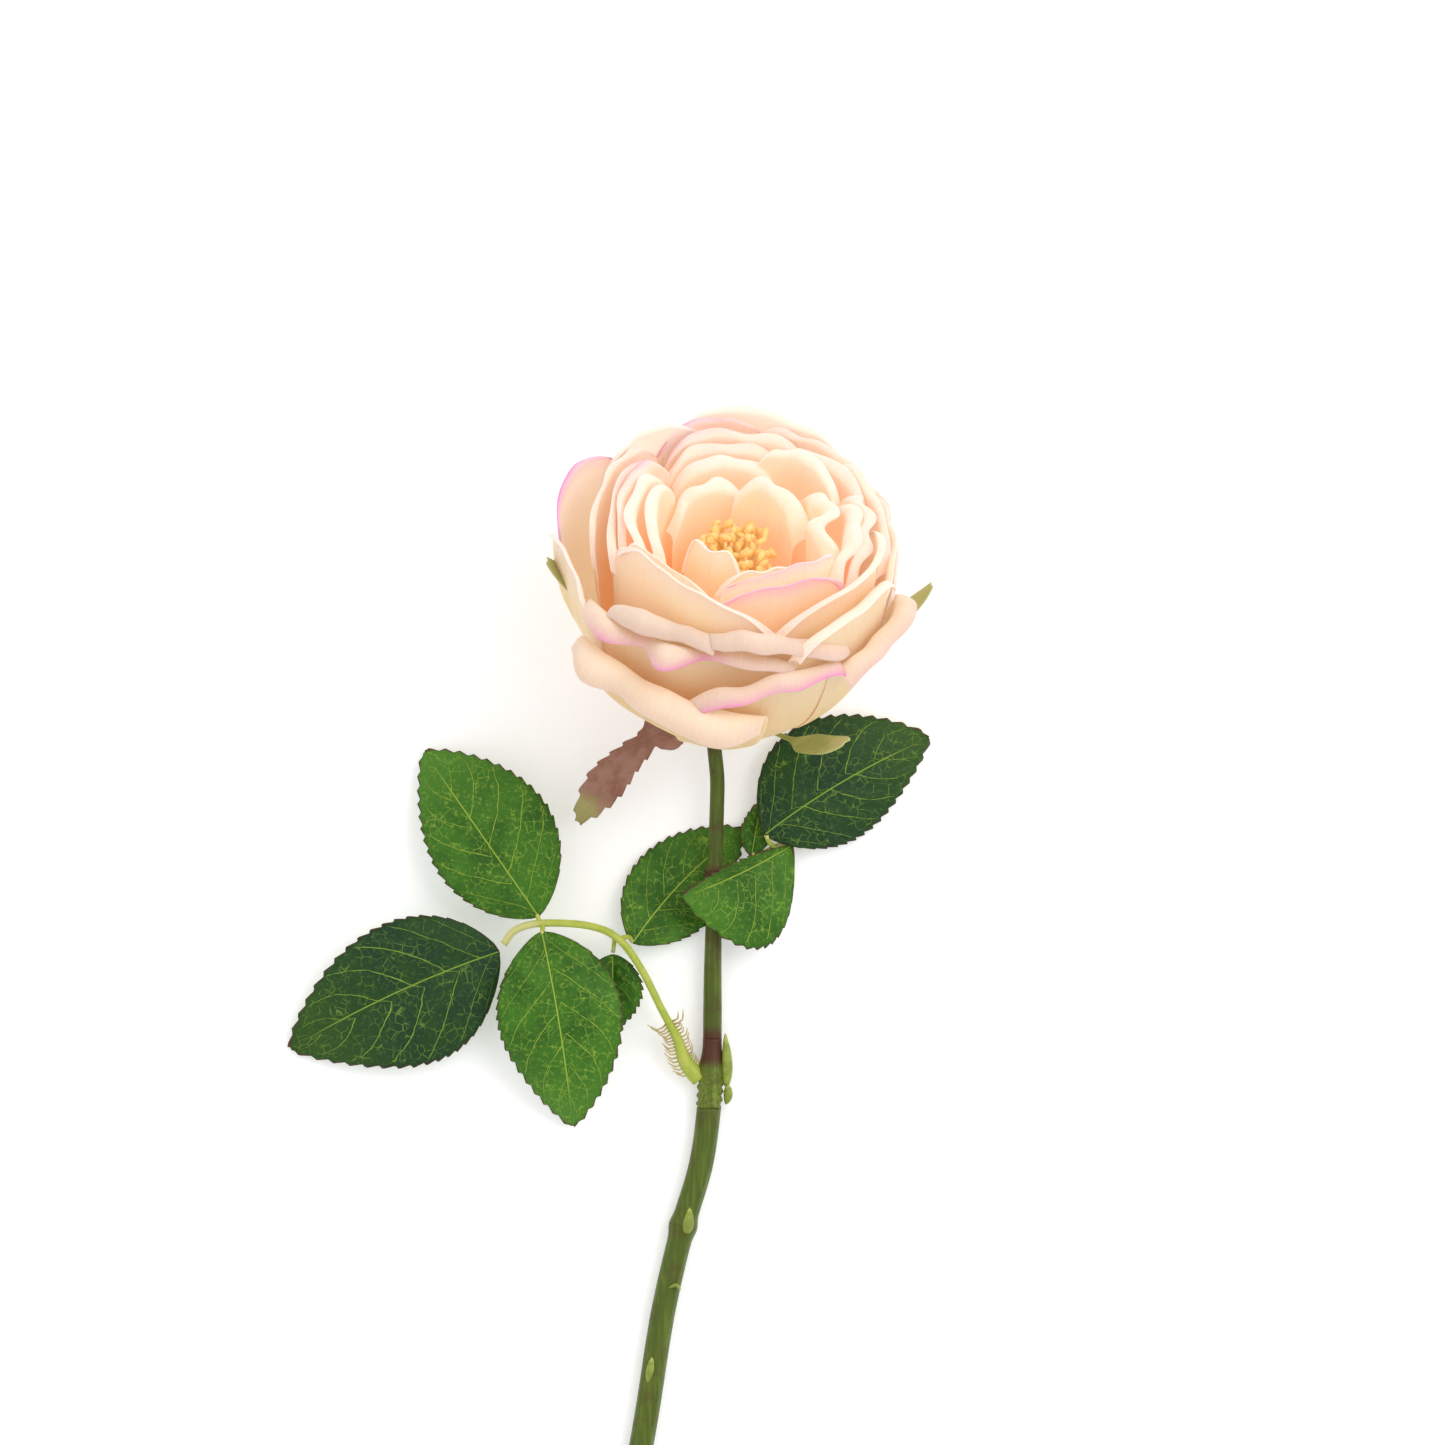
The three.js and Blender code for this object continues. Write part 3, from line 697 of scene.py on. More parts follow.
@dataclass
class Bloom:
    """The bloom: petals that are pieces of nested bowls round one axis."""

    bowl_height: float = 80.0
    foot_radius: float = 8.0
    tip_radius: float = 1.8
    foot_height: float = 20.0
    clearance: float = 1.15
    claw: float = 0.34
    thickness: float = 0.45
    lip_share: float = 0.32
    widest: float = 55.0
    root_drop: float = 0.8
    belly: float = 2.5
    belly_rise: float = 36.0
    deep_places: tuple[float, float] = (20.0, 60.0)
    across: int = 34
    along: int = 34

    @staticmethod
    def around(azimuth: Array, radius: Array, height: Array) -> Array:
        """Points at azimuths in degrees, distances from the axis and heights above the bloom's foot."""
        turn = np.radians(azimuth)
        return (
            BLOOM_FOOT
            + (radius * np.cos(turn))[:, None] * RIGHT
            + (radius * np.sin(turn))[:, None] * BACK
            + height[:, None] * AXIS
        )

    def root(self, openness: float) -> float:
        """How high up the receptacle a petal is rooted: the outer ones are the lowest."""
        return self.foot_height * (1 - self.root_drop * openness)

    def bowl(self, radius: Array, openness: float, share: Array) -> tuple[Array, Array]:
        """A bowl's radius and height.

        Args:
            radius: The radius that the bowl ends with.
            openness: How far out its petal is, which sets how low it is rooted.
            share: How far up the bowl, from 0 to 1.

        Returns:
            The distance from the axis and the height above the foot.
        """
        root = self.root(openness)
        taper = (self.tip_radius - self.foot_radius) * root / self.foot_height
        start = self.foot_radius + taper + self.clearance
        reach = bezier((start, radius * 0.98, radius + self.belly, radius), share)
        rise = bezier((root, root - 1.5, root + self.belly_rise, self.bowl_height), share)
        return reach, rise

    def rim_share(self, radius: Array, openness: float, height: Array) -> Array:
        """The share of a bowl at which it reaches a height."""
        low, high = np.full_like(radius, 0.2), np.ones_like(radius)
        for _ in range(20):
            middle = (low + high) / 2
            under = self.bowl(radius, openness, middle)[1] < height
            low, high = np.where(under, middle, low), np.where(under, high, middle)
        return low

    def petal_shape(self, petal: Petal, seed: int) -> Shape:
        """The shape of one petal.

        Args:
            petal: The petal's sizes.
            seed: Picks its undulation.

        Returns:
            The shape, with how far each place is from the rim, how deep it lies and how blushed it is.
        """
        openness = float(profile(petal.radii, np.array([0.5]))[0]) / self.widest

        def shape(u: Array, v: Array) -> tuple[Array, Qualities]:
            share = (u + 1) / 2
            radius = profile(petal.radii, share)
            edge = petal.ragged * waviness(u, 0 * u, seed + 500, 5.0, 0.0)
            height = profile(petal.heights, share) * (1 - petal.corner * np.abs(u) ** 5) + edge
            top = self.rim_share(radius, openness, height)
            body = np.minimum(v / (1 - self.lip_share), 1.0)
            reach, rise = self.bowl(radius, openness, body * top)
            before = self.bowl(radius, openness, body * top - 0.01)
            lean = np.arctan2(rise - before[1], reach - before[0])
            past = np.clip((v - 1 + self.lip_share) / self.lip_share, 0, 1)
            lip = np.maximum(profile(petal.lip, share), 0.05)
            curl = profile(petal.curl, share) * past
            out, on = lip * (1 - np.cos(curl)), lip * np.sin(curl)
            reach = reach + on * np.cos(lean) + out * np.sin(lean)
            rise = rise + on * np.sin(lean) - out * np.cos(lean)
            swell = smooth(v, 0.25, 0.95) * waviness(u, v, seed, petal.waves, 1.2)
            spread = self.claw + (1 - self.claw) * smooth(body, 0.0, 0.55)
            rounding = 1 - 0.12 * smooth(v, 0.6, 1.0)
            azimuth = petal.azimuth + u * petal.half_width * spread * rounding
            to_rim = (1 - body) * (height - self.root(openness)) * 1.1
            to_rim = to_rim + lip * profile(petal.curl, share) * (1 - past)
            line = 0.7 * np.exp(-to_rim / 0.8) + 0.45 * hump(to_rim, 0.0, 2.6)
            blush = np.clip(profile(petal.blush, share), 0, 1) * line
            depth = 1 - smooth(rise, *self.deep_places)
            points = self.around(azimuth, reach + petal.ruffle * swell, rise)
            return points, {"rim": to_rim, "depth": depth, "blush": blush}

        return shape

    def build_petal(
        self, name: str, petal: Petal, seed: int, sides: list[Material], slot: Slot
    ) -> None:
        """Makes one petal that stands for the CAD node of its name.

        Args:
            name: The CAD node's name.
            petal: The petal's sizes.
            seed: Picks its undulation.
            sides: Its outer and inner finish.
            slot: The record's slot that it takes its finish from.
        """
        maker = Maker("rim", "depth", "blush")
        maker.sheet(self.across, self.along, self.petal_shape(petal, seed))
        piece = maker.finish(f"{name}_cloth", sides, slot, name)
        thicken(piece, self.thickness, two_sided=True, rounds=1)


# Each whorl, from the outside to the heart, left to right round the bloom.
GUARD_PETALS = [
    Petal(
        -108.5, 37, (49.4, 48.6, 47.6, 48.2, 50.2, 50.8, 48.8),
        (46, 45, 43.4, 42.4, 41.4, 40.4, 40.5), (3.0, 6.0, 4.8, 6.6, 6.0, 6.2, 3.4),
        (2.4, 2.9, 2.6, 2.9, 2.6), (0.06,), 0.7, 5.0, 0.6, 0.06,
    ),
    Petal(
        -73, 31, (51, 48.4, 47, 45.8, 45.4), (44, 49.6, 52, 53, 53),
        (2.2, 4.2, 3.4, 3.8, 2.8, 3.4), (2.8, 2.6, 2.8, 2.4), (0.5, 0.9, 0.7, 0.9, 1.0), 0.7, 5.0,
        0.6,
    ),
    Petal(
        -22, 28, (46.4, 46.6, 46.8, 46.8, 46.4), (51, 50, 48), (3.8, 3.2, 3.6, 2.8),
        (2.8, 2.6, 2.2), (0.25, 0.1), 0.7, 4.0, 0.6,
    ),
    Petal(22, 30, (44.6, 44.8, 45, 45.4, 45), (54, 56, 58, 59, 60), (1.2,), (1.4,), (0.06,), 0.5),
    Petal(
        83, 36, (46.2, 46.4, 46.8, 47, 47.4, 47.4, 47), (61, 64.5, 64), (1.4, 2.0, 1.4), (1.3,),
        (0.1,), 0.6, 4.0, 0.6,
    ),
    Petal(
        129, 24, (44, 43.2, 43.6, 43.6, 43.6), (64, 65, 65.5, 65, 64), (1.2,), (1.3,), (0.1,), 0.4,
        4.0, 0.6,
    ),
    Petal(
        162, 26, (44.6, 47.4, 50.4, 51, 50.8, 49, 47), (62, 61.4, 60.7, 60.2, 58.3, 54.6, 50),
        (1.0, 1.6, 1.2), (1.3,), (0.5, 0.9, 1.0, 0.9),
    ),
    Petal(
        -160, 20, (51, 47, 45.4, 45, 45), (57, 55.7, 54, 49.9, 43), (1.4,), (1.4,),
        (0.2, 0.06, 0.06), 0.4, 3.0, 0.35, 0.04,
    ),
]
SECOND_PETALS = [
    Petal(
        -107, 47, (44, 44.2, 44.4, 43.4, 44.2, 42.2, 42, 42.6, 44),
        (53, 54.4, 55, 56, 56.4, 57.4, 57.6, 57, 56), (2, 4.5, 4.5, 2.0, 6.4, 1.8, 3.4, 3.0, 2.2),
        (2.3, 2.7, 2.6, 2.7, 2.4), (0.0, 0.2, 0.9, 0.3, 0.9, 0.9, 0.2, 0.1, 0.1), 0.6, 6.0, 0.5,
        0.06,
    ),
    Petal(
        -40, 27, (44.8, 44.8, 44.2, 43.8, 44.4), (64, 65.7, 67, 67.5, 68), (2.0, 2.4, 2.0), (2.2,),
        (0.06,),
    ),
    Petal(14, 34, (42.8, 42.8, 43), (60, 60, 60), (1.6,), (1.6,), (0.06,), 0.8, 5.0, 0.6),
    Petal(58, 36, (43.8, 43.6, 43.6), (58, 62, 63), (1.4,), (1.6,), (0.1,), 0.8, 5.0, 0.6),
    Petal(
        103, 25, (41.6, 43.2, 44.2, 44.2, 42.8), (62, 63.5, 63.5, 63.5, 62), (1.4,), (1.2,),
        (0.3, 0.3, 0.5, 0.8, 1.0), 0.7, 4.0, 0.6,
    ),
    Petal(
        160, 34, (42, 41, 40.2, 39.4, 38.6), (64, 64, 63, 60, 56), (1.4,), (1.5,), (0.06,), 0.7,
        4.0, 0.6,
    ),
    Petal(
        -114, 24, (42.4, 41, 40.2, 40, 40.6), (59, 61, 61.8, 62, 62.6), (2.6, 4.2, 3.2, 3.6),
        (2.8, 3.0, 2.7), (0.06,), 0.7, 3.0, 0.5, 0.03,
    ),
    Petal(
        -67, 31, (41.4, 40.4, 40.8, 41.8, 43.0), (65, 64.4, 61.6, 57, 52),
        (2.6, 4.0, 3.2, 3.6, 1.6), (2.9,), (0.06,), 0.7, 3.0, 0.5, 0.04,
    ),
]
THIRD_PETALS = [
    Petal(
        168, 38, (37.6, 36, 35, 34, 33.4), (65, 64, 61), (1.6,), (1.6,), (0.6, 0.1, 0.06), 0.9,
        2.6, 0.4,
    ),
    Petal(
        -111, 50, (34.5, 34, 35, 37.1, 39.2, 39.8, 39.4), (71, 73.6, 74.6, 75, 74, 69.8, 63),
        (0.8, 1.2, 1.4, 1.4), (1.5,), (0.08,), 0.25, 3.0, 0.3,
    ),
    Petal(
        -30, 46, (38.0, 38.4, 39.6, 40.4, 39.9, 38.3, 36), (63, 68.2, 70.8, 71.6, 71, 70, 68),
        (1.4, 1.8, 1.8), (1.9,), (0.05,), 0.25, 3.0, 0.3,
    ),
    Petal(28, 34, (39.8, 40.2, 40.2), (62, 63, 63), (1.8,), (2.0,), (0.06,), 1.2, 2.6, 0.4),
    Petal(94, 34, (38.4, 38.6, 38.4), (62, 63, 62), (1.8,), (1.8,), (0.06, 0.1, 0.5), 1.0, 2.6, 0.4),
]
FOURTH_PETALS = [
    Petal(
        164, 38, (34, 33, 32, 31.2, 30.6), (64, 65, 65, 65, 63), (1.8,), (2.0,), (0.9, 0.2, 0.06),
        1.0, 2.6, 0.4,
    ),
    Petal(
        -65, 41, (33.8, 33.3, 32.4, 33, 34.6), (66, 72.7, 74, 73, 70), (0.8,), (0.9,),
        (0.5, 0.6, 0.5), 0.3, 3.0, 0.35,
    ),
    Petal(6, 34, (33.6, 34, 34.4), (66, 66, 66), (2.2,), (2.4,), (0.06,), 2.0, 3.2, 0.4),
    Petal(52, 30, (36.4, 36.4, 36.4), (63, 64, 63), (2.0,), (2.2,), (0.06,), 1.6, 2.8, 0.4),
    Petal(100, 32, (34.0, 34.4, 34.0), (60, 61, 60), (2.0,), (2.0,), (0.06,), 1.2, 2.6, 0.4),
]
FIFTH_PETALS = [
    Petal(-130, 38, (30.2, 29, 26.5), (67, 70, 64), (1.0,), (1.2,), (0.06,)),
    Petal(176, 40, (30, 29, 28, 27, 26), (66, 66, 66, 66, 64), (2.0,), (2.2,), (0.06,), 1.2, 2.6, 0.4),
    Petal(
        -58, 38, (25.5, 27.4, 28.6), (69, 75, 72), (0.8,), (1.0,), (0.4, 0.4, 0.2), 0.7, 3.0, 0.4,
        0.03,
    ),
    Petal(2, 34, (28, 28.8, 29.4), (65, 67, 65), (2.6,), (2.7,), (0.06,), 2.6, 3.4, 0.5),
    Petal(101, 30, (28.8, 29, 28.8), (58, 60, 58), (2.4,), (2.2,), (0.05,), 1.1, 2.6, 0.4),
    Petal(60, 28, (31.6, 31.6, 31.6), (64, 66, 64), (2.0,), (2.4,), (0.05,), 1.8, 3.0, 0.4),
]
HEART_PETALS = [
    Petal(178, 40, (24.8, 23.4, 22.6, 22.2, 22), (66, 67, 65), (2.0,), (2.2,), (0.05,), 1.2, 2.8, 0.4),
    Petal(18, 32, (22, 21.4, 22), (66, 67.5, 65), (2.6,), (2.8,), (0.05,), 2.6, 3.4, 0.5),
    Petal(
        -119, 46, (13.6, 13, 13.4, 13, 13), (62, 68, 66.8, 68.5, 65), (1.2,), (1.5,), (0.08,), 0.5,
        3.0, 0.3, 0.2,
    ),
    Petal(-66, 38, (18, 18.6, 19.4), (64, 67, 66), (1.2,), (1.6,), (0.06,), 0.9, 3.0, 0.5),
    Petal(116, 40, (19, 19.6, 19), (56, 60, 55), (2.2,), (2.4,), (0.0,), 1.4, 3.4, 0.5),
    Petal(58, 42, (15.4, 14.4, 15), (62, 66.5, 64), (2.8,), (2.8,), (0.05,), 1.8, 3.2, 0.5),
]


@dataclass
class PetalWhorls:
    """All the petals, whorl by whorl, with their finishes."""

    bloom: Bloom = field(default_factory=Bloom)
    rolled_lip: float = 2.5

    def build(self) -> None:
        """Makes every petal. A rim that rolls right over is darker inside: a darker copy of the cloth,
        painted shade.
        """
        cloths = (
            PetalFinish("guard_outside", "#DDC2B2", "#E8CDA8", "#E0BA82", veins=0.16),
            PetalFinish("guard_inside", "#F3DACC", "#F8E2D4", "#F8DCC2", painted_glow=0.16),
            PetalFinish("petal_outside", "#E6C9B6", "#E8CCA8", "#E6B880", veins=0.14, painted_glow=0.12),
            # Painted shade: a darker copy of the inner cloth, for rims that roll right over.
            PetalFinish("shaded_rolled_inside", "#D8BAA8", "#F6DAC4", "#F3C496", veins=0.16),
            PetalFinish("petal_inside", "#F6D8C4", "#FAD9BE", "#F8BE8A", painted_glow=0.2),
            PetalFinish("heart_outside", "#FADCCA", "#FBD0AE", "#F9B074", painted_glow=0.2),
            PetalFinish("heart_inside", "#FBDECC", "#FCD6B6", "#FAB478", painted_glow=0.22),
        )
        made = {cloth.name: cloth.material() for cloth in cloths}
        whorls = (
            ("guard", GUARD_PETALS, "guard", Slot.GUARD, True),
            ("second", SECOND_PETALS, "petal", Slot.PETAL, True),
            ("third", THIRD_PETALS, "petal", Slot.PETAL, False),
            ("fourth", FOURTH_PETALS, "petal", Slot.PETAL, False),
            ("fifth", FIFTH_PETALS, "heart", Slot.HEART, False),
            ("heart", HEART_PETALS, "heart", Slot.HEART, False),
        )
        seed = 0
        for whorl, petals, cloth, slot, shade_rolls in whorls:
            for number, petal in enumerate(petals, 1):
                seed += 1
                rolled = shade_rolls and max(petal.lip) > self.rolled_lip
                inside = made["shaded_rolled_inside" if rolled else f"{cloth}_inside"]
                sides = [made[f"{cloth}_outside"], inside]
                self.bloom.build_petal(f"{whorl}_petal_{number}", petal, seed, sides, slot)


@dataclass
class Stamens:
    """A golden tuft: thick filaments that fan out of one column, each with a two-lobed anther."""

    count: int = 74
    foot: float = 20.3
    split: float = 40.0
    top: float = 62.5
    spread: float = 11.0
    filament: float = 0.55
    anther: float = 1.25

    def build(self) -> None:
        """Makes the tuft as one piece."""
        # The last number is a painted glow: the tuft gives off its own colour, lightening it in the
        # shade of the heart.
        finish = PlainFinish("polythene_stamen", "#F4CD84", "#EEBE6A", "#FBE2AE", 3.0, 0.05, 0.4, 0.14)
        maker = Maker("along", "angle")
        column = along_axis((self.foot, 30.0, self.split))
        maker.tube(column, lambda angle, v: 1.5 + 2.4 * smooth(v, 0.7, 1.0), 12, 8)
        random = np.random.default_rng(SEED)
        for i in range(self.count):
            share = math.sqrt((i + 0.5) / self.count)
            azimuth = math.radians(GOLDEN_ANGLE * i + random.uniform(-14, 14))
            way = math.cos(azimuth) * RIGHT + math.sin(azimuth) * BACK
            top = self.top - 3.5 * share**2 - random.uniform(0, 5.0)
            spread = self.spread * share + random.uniform(-0.6, 0.6)
            start = BLOOM_FOOT + 2.8 * share * way + self.split * AXIS
            bend = BLOOM_FOOT + (0.45 * spread + 1.0) * way + (self.split + 9) * AXIS
            end = BLOOM_FOOT + spread * way + top * AXIS
            maker.tube((start, bend, end), lambda angle, v: self.filament * (1.15 - 0.3 * v), 6, 5)
            self.add_anther(maker, end, random)
        maker.finish("stamen_tuft", [finish.material()], Slot.STAMEN, "stamens")

    def add_anther(self, maker: Maker, tip: Array, random: np.random.Generator) -> None:
        """Adds one anther.

        Args:
            maker: The tuft's mesh.
            tip: The end of its filament, in drawing millimetres.
            random: Gives its turn and size.
        """
        verts = bmesh.ops.create_icosphere(maker.mesh, subdivisions=2, radius=1.0)["verts"]
        way = np.array(random.normal(size=3)) + 0.6 * AXIS
        way /= np.linalg.norm(way)
        side = np.cross(way, RIGHT)
        side /= np.linalg.norm(side)
        third = np.cross(way, side)
        size = self.anther * random.uniform(0.8, 1.15)
        for vertex in verts:
            x, y, z = vertex.co
            groove = 1 - 0.35 * hump(y, 0.0, 0.28)
            point = tip + size * (1.45 * x * way + 0.95 * y * side + 0.85 * z * groove * third)
            vertex.co = placed(point)
            vertex[maker.qualities["along"]] = 0.4 + 0.3 * x


# ---- leaflets and sepals ----


@dataclass(frozen=True)
class Leaflet:
    """A leaflet or sepal along a bowed midrib. Its right half is on the right of its way to the tip."""

    foot: Point
    tip: Point
    bow: Point
    left: float
    right: float
    folds: tuple[float, float] = (12.0, 12.0)
    peak: float = 0.42
    teeth: int = 15
    tooth: float = 0.9
    camber: float = 0.05
    wave: float = 0.6
    laterals: float = 6.0
    thickness: float = 0.4
    outline: tuple[float, ...] = ()

    def shape(self, seed: int) -> Shape:
        """The blade's shape, with its distances from the midrib and edge and its lateral veins."""
        start, end = np.array(self.foot), np.array(self.tip)
        middle = (start + end) / 2 + np.array(self.bow)
        power = skew(self.peak)

        def surface(u: Array, v: Array) -> tuple[Array, Qualities]:
            t = v[:, None]
            rib = (1 - t) ** 2 * start + 2 * t * (1 - t) * middle + t**2 * end
            way = (1 - t) * (middle - start) + t * (end - middle)
            way /= np.linalg.norm(way, axis=1, keepdims=True)
            side = np.cross(way, UP)
            side /= np.linalg.norm(side, axis=1, keepdims=True)
            lift = np.cross(side, way)
            off = np.abs(u)
            full = np.where(u < 0, self.left, self.right)
            if self.outline:
                width = 0.4 + full * profile(self.outline, v)
            else:
                width = 0.4 + full * np.sin(math.pi * np.clip(v, 0, 1) ** power) ** 0.8
            phase = (v * self.teeth + 0.35 * (u < 0) + 0.25 * waviness(0 * u, v, seed, 1, 5)) % 1.0
            saw = np.where(phase < 0.78, phase / 0.78, (1 - phase) / 0.22)
            bite = self.tooth * saw * off**6 * smooth(v, 0.03, 0.12)
            reach = width * off + bite - 0.4 * self.tooth * off**6
            fold = np.radians(np.where(u < 0, self.folds[0], self.folds[1]))
            lateral = self.laterals * (v - 0.22 * off - 0.12 * off**2) + 0.45 * (u < 0)
            quilt = 0.35 * np.abs(np.sin(math.pi * lateral)) * smooth(off, 0.0, 0.25) * (1 - off**3)
            rise = self.camber * width * off * (1 - off) * 4
            rise += quilt * smooth(v, 0.02, 0.2) * smooth(1 - v, 0.02, 0.2)
            rise += self.wave * off**3 * waviness(u, 3 * v, seed, 1.0, 2.5)
            points = (
                rib
                + (np.sign(u) * reach * np.cos(fold))[:, None] * side
                + (reach * np.sin(fold) + rise)[:, None] * lift
                + (0.6 * bite)[:, None] * way
            )
            edge = (width * (1 - off)) + 0.02
            return points, {"across": u * width, "along": v, "edge": edge, "lateral": lateral}

        return surface

    def build(self, name: str, seed: int, sides: list[Material], slot: Slot) -> None:
        """Makes the blade, for the CAD node of its name.

        Args:
            name: The CAD node's name.
            seed: Picks its undulation.
            sides: Its upper and lower finish.
            slot: The record's slot that it takes its finish from.
        """
        maker = Maker("across", "along", "edge", "lateral")
        maker.sheet(24, max(24, 6 * self.teeth), self.shape(seed))
        piece = maker.finish(f"{name}_blade", sides, slot, name)
        thicken(piece, self.thickness, two_sided=True)


LEAFLETS = {
    "left_leaflet_upper": Leaflet(
        (-52.8, -55.6, 13.2), (-85.9, -8.7, 3), (-1, 2, 9), 16, 20, (-4, 8), teeth=17,
    ),
    "left_leaflet_end": Leaflet(
        (-64.2, -65.8, 11.2), (-124.4, -93.9, 2), (0, 4, 8), 22.5, 19, (-6, 6), teeth=18,
    ),
    "left_leaflet_lower": Leaflet(
        (-51.8, -60, 15.6), (-43.2, -116.1, 3), (2, 0, 16), 18, 17, (-4, -6), teeth=17,
    ),
    "left_leaflet_small": Leaflet((-31.6, -66.8, 9.2), (-33, -89, 4), (1, 0, 1), 8.5, 9.5, teeth=11),
    "left_leaflet_right": Leaflet(
        (-25.8, -63.4, 8), (6, -31, 0.8), (-3, 3, -5.9), 13, 13, (0, 0), teeth=15, wave=0.1,
        camber=0.0,
    ),
    "right_leaflet_big": Leaflet(
        (12.2, -32.2, 7.4), (59.5, -4.5, 1.4), (-2, 3, 5.5), 20, 16, (-6, -12), teeth=17,
    ),
    "right_leaflet_front": Leaflet(
        (19.8, -35.4, 5), (-11.3, -50, 13.6), (0, -2, 7.4), 22, 3, (-8, 0), peak=0.5, teeth=14,
    ),
    "right_leaflet_small": Leaflet(
        (8.4, -38.4, 4.4), (11, -23, 1.6), (0, 0, 0), 4, 4, teeth=7, tooth=0.5,
    ),
}
DARK_LEAFLETS = ("left_leaflet_end", "right_leaflet_big")


@dataclass
class Foliage:
    """The leaflets of both sprays."""

    def build(self) -> None:
        """Makes every leaflet."""
        fresh, dark, under = (
            finish.material()
            for finish in (
                LeafFinish("fresh", "#3F7218", "#2C5A12", "#4E8224", "#9DBB45"),
                LeafFinish("dark", "#1F421A", "#1A3A20", "#345418", "#86A63E", speckle=0.22),
                LeafFinish("back", "#6C8A4E", "#5E7E46", "#76925A", "#A9B56A", speckle=0.2),
            )
        )
        for seed, (name, leaflet) in enumerate(LEAFLETS.items(), 100):
            if name in DARK_LEAFLETS:
                leaflet.build(name, seed, [dark, under], Slot.DARK_LEAF)
            else:
                leaflet.build(name, seed, [fresh, under], Slot.LEAF)


@dataclass(frozen=True)
class PressedSepal:
    """A sepal that hugs the back of the bloom."""

    azimuth: float
    bowl_radius: float
    height: float
    half_width: float
    flare: float = 0.8
    widens: float = 0.58
    neck: float = 0.16
    foot_radius: float = 8.7
    rises: tuple[float, ...] = (-1.2, -3.0, 35.0, 80.0)
    thickness: float = 0.6

    def tip_share(self) -> float:
        """The share of the bowl at which the sepal ends."""
        low, high = 0.2, 1.0
        for _ in range(20):
            middle = (low + high) / 2
            below = bezier(self.rises, middle) < self.height
            low, high = (middle, high) if below else (low, middle)
        return low

    def shape(self) -> Shape:
        """The sepal's shape, on a bowl outside the petals' own."""
        tip = self.tip_share()
        rim = self.bowl_radius
        radii = (self.foot_radius, rim * 0.98, rim + Bloom.belly, rim)

        def surface(u: Array, v: Array) -> tuple[Array, Qualities]:
            tongue = smooth(v, self.widens, self.widens + 0.22)
            width = self.half_width * (self.neck + (1 - self.neck) * tongue)
            width *= np.sqrt(np.clip(1 - smooth(v, 0.78, 1.02) ** 2, 0, 1)) + 0.05
            cup = 0.5 * np.abs(u) ** 2 + self.flare * smooth(v, self.widens + 0.1, 1.05)
            reach = bezier(radii, v * tip) + cup
            azimuth = self.azimuth + np.degrees(u * width / reach)
            return Bloom.around(azimuth, reach, bezier(self.rises, v * tip)), {"along": v}

        return surface


@dataclass
class Calyx:
    """The receptacle, the hip under it, and the five sepals."""

    def build(self) -> None:
        """Makes the receptacle and the sepals."""
        green = PlainFinish("polyester_sepal", "#8E9A4C", "#A7AC62", "#B9BC7E", 6.0).material()
        self.build_receptacle(green)
        sepals = (
            PressedSepal(-36, 51.5, 14, 5.0, 3.5, 0.4),
            PressedSepal(13, 48.0, 41, 3.6, 10.5),
            PressedSepal(92, 50, 20, 5.5),
            PressedSepal(-176, 43.0, 48, 5.4, 10.6, 0.74),
        )
        for number, sepal in enumerate(sepals, 1):
            maker = Maker("along")
            maker.sheet(10, 30, sepal.shape())
            piece = maker.finish(f"sepal_{number}_blade", [green], Slot.SEPAL, f"sepal_{number}")
            thicken(piece, sepal.thickness, rounds=1)
        self.build_hanging_sepal()

    def build_hanging_sepal(self) -> None:
        """Makes the brown-pink sepal: a narrow toothed strip with two lobes near its foot."""
        finish = PlainFinish("polyester_dry_sepal", "#A3786A", "#8F5E50", "#A8A066", 7.0, 0.08, 0.7)
        outline = (0.3, 0.6, 1.55, 1.5, 0.7, 0.72, 0.82, 0.95, 1.1, 1.2, 1.15, 0.95, 0.6, 0.1)
        sepal = Leaflet(
            (-9.4, 3, 22.4), (-41.5, -28.4, 9), (-2, 6, 5), 4.2, 4.2, (6, 6),
            teeth=9, tooth=1.1, thickness=0.6, outline=outline,
        )
        maker = Maker("across", "along", "edge", "lateral")
        maker.sheet(16, 72, sepal.shape(300))
        piece = maker.finish("sepal_5_blade", [finish.material()], Slot.DRY_SEPAL, "sepal_5")
        thicken(piece, sepal.thickness)

    def build_receptacle(self, material: Material) -> None:
        """Makes the turned receptacle and hip.

        Args:
            material: Its finish.
        """
        maker = Maker("along", "angle")
        radii = (3.4, 5.4, 6.6, 7.0, 7.8, 7.4, 6.0, 4.6, 3.2, 1.8)
        maker.tube(
            along_axis(np.linspace(-HIP_LENGTH, Bloom.foot_height, 29)),
            lambda angle, v: profile(radii, v) * (1 + 0.04 * np.cos(5 * angle)),
            30,
            28,
        )
        maker.finish("receptacle_hip", [material], Slot.SEPAL, "receptacle")


# ---- the stem ----


class StemPart(Enum):
    """The stem's lengths, as the CAD nodes are named."""

    UPPER = "stem_upper"
    SLEEVE = "stem_sleeve"
    MIDDLE = "stem_middle"
    LOWER = "stem_lower"


